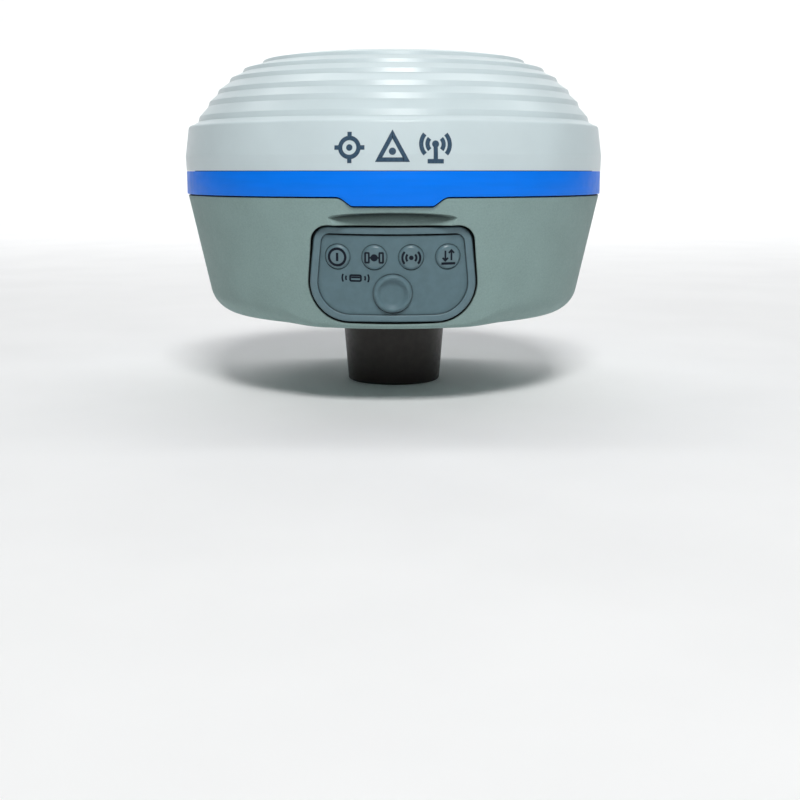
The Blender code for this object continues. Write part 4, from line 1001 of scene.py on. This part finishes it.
def floor_cutters():
    """Holes in the underside: closing screws, neck screws, sound holes and the vent."""
    low = HOUSING_BOTTOM - MM
    high = HOUSING_BOTTOM + FLOOR + MM
    seat = HOUSING_BOTTOM + 2.8 * MM
    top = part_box("radome_cover")[0].z + MM
    head, shank, rim = 3.1 * MM, 1.7 * MM, 0.35 * MM
    outline = [(0.0, low), (head + rim + MM, low), (head, HOUSING_BOTTOM + rim), (head, seat),
               (shank, seat), (shank, top), (0.0, top)]
    wells = turned("wells", outline, even_angles(40), places=screw_places("housing_screw"))
    neck = drills("neck_holes", 1.3 * MM, low, high, screw_places("neck_screw"))
    pilot_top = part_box("inner_frame")[0].z + MM
    pilots = drills("pilots", 1.5 * MM, pilot_top - 8 * MM, pilot_top, screw_places("frame_screw"))
    speaker = middle_of("speaker")
    spots = [(speaker.x + x, speaker.y + y) for x, y in [(0, 0), *on_ring(2.6 * MM, 5, 83)]]
    sound = drills("sound_holes", 0.6 * MM, low, high, spots, 20)
    hole = drills("vent_hole", 3 * MM, low, high, [middle_of("pressure_vent").xy], 32)
    return wells, neck, pilots, sound, hole


def wall_normals(mesh):
    """Shade the tapered wall as the true cone, whatever faces the cuts have left on it."""
    normals = [Vector(corner.vector) for corner in mesh.corner_normals]
    lean = math.tan(TAPER)
    for polygon in mesh.polygons:
        for index in polygon.loop_indices:
            spot = mesh.vertices[mesh.loops[index].vertex_index].co
            radius = math.hypot(spot.x, spot.y)
            on_wall = abs(radius - wall_radius(spot.z)) < 0.01 * MM
            true = Vector((spot.x / radius, spot.y / radius, -lean)).normalized() if radius else None
            if on_wall and polygon.normal.dot(true) > 0.99:
                normals[index] = true
    mesh.normals_split_custom_set([tuple(normal) for normal in normals])


def make_housing():
    """Grey tapered shell with the keypad pocket, its scooped brow, and the rear port pocket."""
    shell = turned("housing_shell", housing_outline, front_angles(22 * MM, 0.45 * MM))
    keypad_floor = keypad_surface(POCKET_DEPTH)
    shares = (0.8, 0.6, 0.4, 0.2)
    pocket = pocket_cutter("keypad_pocket", keypad_outline, KEYPAD, GAP, 0.25 * MM, keypad_floor, shares)
    window = prism("window", mirrored_outline(*WINDOW_CORNERS), -MM, TRAY_DEPTH + 4 * MM, KEYPAD)
    port = pocket_cutter("port_pocket", port_outline, PORT, 0, 0.3 * MM, PORT_POCKET_DEPTH, ())
    reach = PORT_HALF_HEIGHT + 2 * MM
    pin = turned("pin_hole", rod(0.9 * MM, -reach, reach), even_angles(20), HINGE)
    line = rounded_rectangle(USB_WIDTH / 2 + GAP, USB_HEIGHT / 2 + GAP, 1.5 * MM)
    usb = prism("usb_hole", line, PORT_POCKET_DEPTH - 2 * MM, 12 * MM, PORT)
    combine(shell, housing_cavity(), brow_cutter(), pocket, window, port, pin, usb, *floor_cutters())
    wall_normals(shell.data)
    dress(shell, "housing", "lower_housing")


# Keypad ---------------------------------------------------------------------------------------


def make_keypad_border():
    """Raised border with rounded inner and outer edges."""
    back = keypad_surface(POCKET_DEPTH - GAP)
    fillet, inner = 0.6 * MM, 0.35 * MM
    loops = [at_depth(keypad_outline(-SEAM), back)]
    for step in range(7):
        turn = math.pi / 2 * step / 6
        inset = SEAM + fillet * (1 - math.cos(turn))
        loops.append(at_depth(keypad_outline(-inset), keypad_surface(fillet * (1 - math.sin(turn)))))
    for step in range(7):
        turn = math.pi / 2 * step / 6
        inset = inner * (1 - math.sin(turn))
        loops.append(at_depth(field_outline(-inset), keypad_surface(inner * (1 - math.cos(turn)))))
    loops.append(at_depth(field_outline(0), back))
    border = lofted("keypad_border", loops, KEYPAD, closed=True)
    dress(border, "keypad_border", "keypad_frame")


def lens_matrix(index):
    """Frame of one indicator lens, square to the keypad's curve, with heights running outwards."""
    x = (index - (LENS_COUNT - 1) / 2) * LENS_PITCH
    spot = Matrix.Translation((x, sag(x, KEYPAD_CURVE), LENS_ROW))
    return KEYPAD @ spot @ Matrix.Rotation(math.asin(x / KEYPAD_CURVE), 4, "Z") @ OUTWARDS


BUTTON = KEYPAD @ Matrix.Translation((0, 0, BUTTON_ROW)) @ OUTWARDS


def make_membrane():
    """Recessed rubber field with a soft-edged hole for each lens and for the button."""
    top = KEYPAD_HIGH - BORDER_ENDS - GROOVE
    line = [Vector((spot.x, min(spot.y, top))) for spot in field_outline(0.08 * MM)]
    back = at_depth(line, keypad_surface(POCKET_DEPTH - GAP))
    shares = (1, 0.85, 0.7, 0.55, 0.4, 0.25, 0.1)
    loops = [at_depth(ring, keypad_surface(POCKET_DEPTH - GAP)) for ring in shrunk(line, (0.1, 0.3, 0.6))]
    loops.append(back)
    loops += [at_depth(ring, keypad_surface(MEMBRANE_DEPTH)) for ring in shrunk(line, shares)]
    field = lofted("keypad_field", loops, KEYPAD)
    cutters = []
    for index in range(LENS_COUNT):
        hole = hole_outline(LENS_RADIUS + 0.06 * MM)
        cutters.append(turned("lens_hole", hole, even_angles(48), lens_matrix(index)))
    cutters.append(turned("button_hole", hole_outline(BUTTON_RADIUS + 0.08 * MM), even_angles(64), BUTTON))
    combine(field, *cutters)
    dress(field, "keypad_rubber", "keypad_membrane")


def hole_outline(radius):
    """A hole through the field whose mouth flares out."""
    mouth = -MEMBRANE_DEPTH
    flare = 0.1 * MM
    return [(0.0, -5 * MM), (radius, -5 * MM), (radius, mouth - flare), (radius + flare, mouth),
            (radius + flare + 4 * MM, mouth + 4 * MM), (0.0, mouth + 4 * MM)]


def make_lenses():
    """Raised round indicator windows with softened rims."""
    for index in range(LENS_COUNT):
        path = [
            (0.0, LENS_FACE, 0),
            (LENS_RADIUS - 0.6 * MM, LENS_FACE, 0.9 * MM),
            (LENS_RADIUS, -0.75 * MM, 0.2 * MM),
            (LENS_RADIUS, -POCKET_DEPTH, 0),
            (1.8 * MM, -POCKET_DEPTH, 0),
            (1.8 * MM, -5.2 * MM, 0),
            (0.0, -5.2 * MM, 0),
        ]
        name = f"indicator_window_{index + 1}"
        lens = turned(name, filleted(path), even_angles(64), lens_matrix(index))
        dress(lens, "lens", f"indicator_lens_{index + 1}")


def make_button():
    """Power button: a raised rim round a shallow dish, and the stem behind."""
    path = [
        (0.0, -0.7 * MM, 0),
        (3.3 * MM, -0.65 * MM, 1.6 * MM),
        (4.75 * MM, 0.9 * MM, 0.7 * MM),
        (BUTTON_RADIUS, -0.7 * MM, 0.4 * MM),
        (BUTTON_RADIUS, -POCKET_DEPTH, 0),
        (BUTTON_FLANGE, -POCKET_DEPTH, 0),
        (BUTTON_FLANGE, -2.7 * MM, 0),
        (1.8 * MM, -2.7 * MM, 0),
        (1.8 * MM, -5.0 * MM, 0),
        (0.0, -5.0 * MM, 0),
    ]
    button = turned("power_key", filleted(path, 6), even_angles(72), BUTTON, sharp=40)
    dress(button, "keypad_rubber", "power_button", body="button")


# Printed symbols ------------------------------------------------------------------------------


class Print:
    """Raised ink, drawn in millimetres; lift maps (x, z, height) in metres to a place in space."""

    def __init__(self, lift, thickness=0.05):
        self.bm = bmesh.new()
        self.lift = lift
        self.thickness = thickness

    def vertex(self, point, level):
        """A vertex at the ink's foot (level 0) or face (level 1)."""
        x, z = point
        return self.bm.verts.new(self.lift(x * MM, z * MM, level * self.thickness * MM))

    def stroke(self, path, width, closed=False):
        """A stroke along a path, mitred where it turns."""
        spots = [Vector(point) for point in path]
        last = len(spots) - 1
        rows = []
        for index, spot in enumerate(spots):
            ahead = spots[(index + 1) % len(spots)] if closed or index < last else spot
            behind = spots[index - 1] if closed or index > 0 else spot
            legs = [leg.normalized() for leg in (ahead - spot, spot - behind) if leg.length]
            along = sum(legs, Vector((0, 0))).normalized()
            widen = 1 / max(along.dot(legs[0]), 0.4)
            across = Vector((-along.y, along.x)) * widen * width / 2
            corners = ((spot - across, 0), (spot + across, 0), (spot + across, 1), (spot - across, 1))
            rows.append([self.vertex(point, level) for point, level in corners])
        for one, other in zip(rows, rows[1:] + rows[:1] if closed else rows[1:]):
            join_loops(self.bm, one, other)
        if not closed:
            self.bm.faces.new(rows[0])
            self.bm.faces.new(rows[-1])

    def dot(self, x, z, radius):
        """A filled disc."""
        ring = [(x + radius * math.cos(a), z + radius * math.sin(a)) for a in even_angles(24)]
        low, high = [[self.vertex(point, level) for point in ring] for level in (0, 1)]
        join_loops(self.bm, low, high)
        self.bm.faces.new(low)
        self.bm.faces.new(high)

    def dry(self, name, slot, finish="ink", matrix=None):
        """Turn what has been drawn into a piece."""
        dress(object_from(name, self.bm, matrix), slot, finish=finish)


def arc(x, z, radius, start, end, steps=24):
    """Points on an arc, its angles in degrees."""
    turns = [math.radians(start + (end - start) * step / steps) for step in range(steps + 1)]
    return [(x + radius * math.cos(turn), z + radius * math.sin(turn)) for turn in turns]


def line(x0, z0, x1, z1, parts=6):
    """Points on a straight stroke."""
    return [(x0 + (x1 - x0) * part / parts, z0 + (z1 - z0) * part / parts) for part in range(parts + 1)]


def subdivided(corners, parts):
    """A closed path through corners, each side cut into parts."""
    points = []
    for start, end in zip(corners, corners[1:] + corners[:1]):
        points += line(*start, *end, parts)[:-1]
    return points


# Stroke widths and places of the symbols, in millimetres
BOLD = 0.66
FINE = 0.48
STENCIL = 1.15
SYMBOL_PITCH = 11.6
SYMBOL_HEIGHT = 6.2


def draw_power(pen):
    """Ring round an upright bar."""
    pen.stroke(arc(0, 0, 2.3, 0, 345, 23), BOLD, closed=True)
    pen.stroke(line(0, -1.15, 0, 1.15), BOLD)


def draw_satellite(pen):
    """A round body between two panels."""
    pen.dot(0, 0, 1.0)
    for side in (-1, 1):
        pen.stroke(line(0.9 * side, 0, 1.4 * side, 0), FINE)
        pen.stroke(rounded_rectangle(0.5, 1.35, 0.15, (1.95 * side, 0.0), 3, 4), FINE, closed=True)


def draw_radio(pen):
    """A dot between two pairs of waves."""
    pen.dot(0, 0, 0.62)
    for radius in (1.4, 2.45):
        for start in (-42, 138):
            pen.stroke(arc(0, 0, radius, start, start + 84), 0.9 * BOLD)


def draw_data(pen):
    """A down arrow and an up arrow over a bar."""
    pen.stroke(line(-1.95, -1.8, 1.95, -1.8), BOLD)
    for side in (-1, 1):
        x = 0.85 * side
        tip = 0.45 + 1.45 * side
        pen.stroke(line(x, 0.45 - 1.35 * side, x, tip), FINE)
        barb = tip - 0.8 * side
        pen.stroke([(x - 0.75, barb), (x, tip), (x + 0.75, barb)], FINE)


def make_lens_symbols():
    """The four indicator symbols, one on each lens."""

    def lift(x, z, height):
        return (x, z, LENS_FACE - 0.02 * MM + height)

    drawings = {"power": draw_power, "satellite": draw_satellite, "radio": draw_radio, "data": draw_data}
    for index, (name, draw) in enumerate(drawings.items()):
        pen = Print(lift)
        draw(pen)
        pen.dry(f"{name}_symbol", "lens", matrix=lens_matrix(index))


def make_contactless_mark():
    """A card between waves, which marks the contactless reader."""

    def lift(x, z, height):
        return (x, sag(x, KEYPAD_CURVE) + MEMBRANE_DEPTH + 0.02 * MM - height, z)

    pen = Print(lift)
    x, z = -10.3, -1.35
    pen.stroke(rounded_rectangle(1.5, 0.8, 0.35, (x, z), 4, 4), FINE, closed=True)
    pen.stroke(line(x - 1.2, z + 0.2, x + 1.2, z + 0.2), FINE)
    for side, start in ((1, -28), (-1, 152)):
        for radius in (1.3, 2.3):
            pen.stroke(arc(x + 1.4 * side, z, radius, start, start + 56, 12), 0.9 * FINE)
    pen.dry("contactless_mark", "keypad_rubber", matrix=KEYPAD)


def band_radius(height):
    """Outer radius of the white band, which narrows above and a little below its widest line."""
    if height < BAND_FULL_HEIGHT:
        return BODY_RADIUS - BAND_FOOT_INSET * (BAND_FULL_HEIGHT - height) / BAND_FULL_HEIGHT
    lean = (BODY_RADIUS - BAND_LIP_RADIUS) / (BAND_LIP_HEIGHT - BAND_FULL_HEIGHT)
    return BODY_RADIUS - (height - BAND_FULL_HEIGHT) * lean


def draw_target(pen, x, z):
    """A ring with a dot and four ticks."""
    pen.stroke(arc(x, z, 2.5, 0, 351, 39), STENCIL, closed=True)
    pen.dot(x, z, 0.85)
    for dx, dz in ((1, 0), (-1, 0), (0, 1), (0, -1)):
        pen.stroke(line(x + 2.6 * dx, z + 2.6 * dz, x + 4.1 * dx, z + 4.1 * dz), STENCIL)


def draw_benchmark(pen, x, z):
    """A triangle round a dot."""
    triangle = [(x - 3.7, z - 3.2), (x + 3.7, z - 3.2), (x, z + 3.5)]
    pen.stroke(subdivided(triangle, 10), STENCIL, closed=True)
    pen.dot(x, z - 1.0, 0.95)


def draw_beacon(pen, x, z):
    """A mast on a foot, sending waves to both sides."""
    tip, base = z + 0.9, z - 3.6
    pen.dot(x, tip, 0.95)
    for radius in (2.2, 3.9):
        for start in (-42, 138):
            pen.stroke(arc(x, tip, radius, start, start + 84), STENCIL)
    pen.stroke(line(x, tip, x, base), STENCIL)
    pen.stroke(line(x - 2.2, base, x + 2.2, base), STENCIL)


def make_band_symbols():
    """Three generic surveying symbols on the white band: a target, a benchmark and a beacon."""

    def lift(x, z, height):
        radius = band_radius(z) - 0.03 * MM + height
        turn = x / BODY_RADIUS
        return (radius * math.sin(turn), -radius * math.cos(turn), BAND_TOP + z)

    pen = Print(lift, 0.08)
    draw_target(pen, -SYMBOL_PITCH, SYMBOL_HEIGHT)
    draw_benchmark(pen, 0, SYMBOL_HEIGHT)
    draw_beacon(pen, SYMBOL_PITCH, SYMBOL_HEIGHT)
    pen.dry("band_symbols", "radome", "band_ink")


# Neck, insert and screws ----------------------------------------------------------------------


def make_neck():
    """Dark tapered boss."""
    low_radius = NECK_TOP_RADIUS - 1.8 * MM
    bore = INSERT_RADIUS + GAP
    path = [
        (bore, 0.0, 0),
        (low_radius, 0.0, 0.9 * MM),
        (NECK_TOP_RADIUS, NECK_HEIGHT, 0.25 * MM),
        (0.0, NECK_HEIGHT, 0),
    ]
    outline = filleted(path, 6) + [(0.0, INSERT_TOP + GAP), (bore, INSERT_TOP + GAP)]
    neck = turned("neck_boss", outline, even_angles(96))
    combine(neck, drills("pilots", 1.1 * MM, 12 * MM, NECK_HEIGHT + MM, screw_places("neck_screw")))
    dress(neck, "neck", "pole_neck")


def thread_radius(height, angle):
    """Radius of the insert's 5/8 inch, 11 per inch thread, with a tapered lead-in."""
    phase = (height / THREAD_PITCH - angle / math.tau) % 1.0
    tooth = 1 - abs(2 * phase - 1)
    depth = min(max(1.25 * tooth - 0.12, 0.0), 1.0)
    radius = THREAD_MINOR + (THREAD_MAJOR - THREAD_MINOR) * depth
    return max(radius, THREAD_MINOR + max(0.0, 1.2 * MM - (height - INSERT_LOW)))


def make_insert():
    """Brass insert with a cut thread in its socket."""
    socket_top = INSERT_TOP - 1.7 * MM
    rows = round((socket_top - INSERT_LOW) / THREAD_PITCH * 8)
    heights = [INSERT_LOW + (socket_top - INSERT_LOW) * row / rows for row in range(rows + 1)]

    def outline(angle):
        thread = [(thread_radius(height, angle), height) for height in heights]
        outside = [(INSERT_RADIUS, INSERT_TOP), (INSERT_RADIUS, INSERT_LOW)]
        return [*thread, (0.0, socket_top), (0.0, INSERT_TOP), *outside]

    dress(turned("threaded_insert", outline, even_angles(64), sharp=50), "brass", "thread_insert")


def make_closing_screws():
    """The four screws on the underside, with rounded heads and hexagonal recesses."""
    head_low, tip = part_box("housing_screw_1")[0].z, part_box("housing_screw_1")[1].z
    head, height, shank = 2.8 * MM, 2.2 * MM, 1.4 * MM
    path = [
        (0.0, head_low, 0),
        (head * 0.8, head_low, 0),
        (head, head_low + height * 0.35, 0.5 * MM),
        (head, head_low + height, 0),
        (shank, head_low + height, 0),
        (shank, tip, 0),
        (0.0, tip, 0),
    ]
    for number, place in enumerate(screw_places("housing_screw"), 1):
        screw = turned(f"closing_screw_{number}", filleted(path), even_angles(40), places=[place])
        recess = rod(0.52 * head, head_low - MM, head_low + 1.3 * MM)
        combine(screw, turned("recess", recess, even_angles(6), places=[place]))
        dress(screw, "steel", f"housing_screw_{number}")


# Rear port ------------------------------------------------------------------------------------


def make_port_door():
    """Hinged door with eased edges, its barrel and a finger notch."""

    def surface(extra):
        return lambda x, z: sag(x, PORT_CURVE) + extra

    back = DOOR_RECESS + DOOR_WALL
    edge = 0.35 * MM

    def outline(inset):
        right = PORT_HALF_WIDTH - inset
        top = PORT_HALF_HEIGHT - inset
        corners = [(right, top, 2 * MM), (right, -top, 2 * MM)]
        corners += [(HINGE_X, -top, 0.05 * MM), (HINGE_X, top, 0.05 * MM)]
        return rounded_outline(corners, 8, 14)

    loops = [at_depth(ring, surface(back)) for ring in shrunk(outline(0), (0.3, 0.65, 1))]
    for step in range(5):
        turn = math.pi / 2 * step / 4
        inset = edge * (1 - math.cos(turn))
        loops.append(at_depth(outline(inset), surface(DOOR_RECESS + edge * (1 - math.sin(turn)))))
    loops += [at_depth(ring, surface(DOOR_RECESS)) for ring in shrunk(outline(edge), (0.8, 0.6, 0.4, 0.2))]
    door = lofted("port_cover", loops, PORT)
    barrel = turned("barrel", rod(HINGE_BARREL, -PORT_HALF_HEIGHT, PORT_HALF_HEIGHT), even_angles(32), HINGE)
    combine(door, barrel, operation="UNION")
    reach = PORT_HALF_HEIGHT + MM
    bore = turned("bore", rod(0.9 * MM, -reach, reach), even_angles(24), HINGE)
    notch_line = rounded_rectangle(1.0 * MM, 3.0 * MM, 0.9 * MM, (PORT_HALF_WIDTH, 0.0))
    face = sag(PORT_HALF_WIDTH, PORT_CURVE) + DOOR_RECESS
    notch = prism("notch", notch_line, face - 2 * MM, face + 0.7 * MM, PORT)
    combine(door, bore, notch)
    dress(door, "housing", "port_door", body="door")


def make_usb_socket():
    """Round-ended metal shell with its contact tongue."""
    front = PORT_POCKET_DEPTH + GAP
    back = front + 7.2 * MM
    wall = 0.3 * MM
    outside = rounded_rectangle(USB_WIDTH / 2, USB_HEIGHT / 2, 1.45 * MM)
    inside = rounded_rectangle(USB_WIDTH / 2 - wall, USB_HEIGHT / 2 - wall, 1.45 * MM - wall)
    loops = [
        at_depth(outside, back),
        at_depth(outside, front),
        at_depth(inside, front),
        at_depth(inside, front + USB_MOUTH_DEPTH),
    ]
    socket = lofted("usb_shell", loops, PORT)
    dress(socket, "tinned_steel", "usb_socket")
    tongue_line = rounded_rectangle(3.3 * MM, 0.35 * MM, 0.2 * MM)
    tongue = prism("usb_tongue", tongue_line, front + 0.8 * MM, back - MM, PORT)
    dress(tongue, "black_plastic")


# Studio ---------------------------------------------------------------------------------------


def make_floor():
    """Pale paper sweep: a floor that curves up into a backdrop."""
    bm = bmesh.new()
    half, front, back, rise, bend = 4.0, -4.0, 2.6, 4.5, 1.4
    path = [(front, 0.0)]
    for step in range(17):
        turn = math.pi / 2 * step / 16
        path.append((back - bend + bend * math.sin(turn), bend - bend * math.cos(turn)))
    path.append((back, rise))
    quad_sheet(bm, [[bm.verts.new((x, y, z)) for x in (-half, half)] for y, z in path])
    sweep = object_from("paper_sweep", bm)
    sweep.data.materials.append(FINISH["floor"])


def soft_light(name, place, size, power, colour=(1, 1, 1), target=(0, 0, 0.055)):
    """A square softbox aimed at the receiver."""
    light = bpy.data.lights.new(name, "AREA")
    light.shape = "RECTANGLE"
    light.size, light.size_y = size
    light.energy = power
    light.color = colour
    obj = bpy.data.objects.new(name, light)
    obj.location = place
    aim = Vector(target) - Vector(place)
    obj.rotation_euler = aim.to_track_quat("-Z", "Y").to_euler()
    bpy.context.scene.collection.objects.link(obj)


def make_lights():
    """A strong box above and in front, weak fills, and a wide box on the backdrop."""
    soft_light("overhead", (0.06, -0.78, 0.98), (0.34, 0.28), 10.6, (1.0, 1.0, 0.99))
    soft_light("front_fill", (-0.5, -1.6, 0.7), (1.2, 0.8), 0.4, (0.97, 0.99, 1.0))
    soft_light("right_side", (1.3, -0.7, 0.6), (0.5, 0.9), 0.8)
    soft_light("backdrop", (0.0, 0.9, 1.7), (3.2, 0.8), 48, target=(0, 2.3, 0.2))
    world = bpy.data.worlds.new("pale_room")
    world.use_nodes = True
    background = world.node_tree.nodes["Background"]
    background.inputs["Color"].default_value = (0.95, 0.98, 1.0, 1)
    background.inputs["Strength"].default_value = 0.08
    bpy.context.scene.world = world


def make_camera():
    """Camera level with the trim band and looking down at the neck."""
    camera = bpy.data.cameras.new("camera")
    camera.lens = 55.7
    camera.sensor_width = 36
    obj = bpy.data.objects.new("camera", camera)
    obj.location = (0.002, -0.400, BAND_TOP)
    obj.rotation_euler = (math.radians(90 - 10.475), 0, 0)
    bpy.context.scene.collection.objects.link(obj)
    bpy.context.scene.camera = obj


dress_cad_nodes()
make_radome()
make_trim_ring()
make_housing()
make_keypad_border()
make_membrane()
make_lenses()
make_button()
make_lens_symbols()
make_contactless_mark()
make_band_symbols()
make_neck()
make_insert()
make_closing_screws()
make_port_door()
make_usb_socket()
make_floor()
make_lights()
make_camera()
bpy.context.scene.view_settings.view_transform = "Standard"
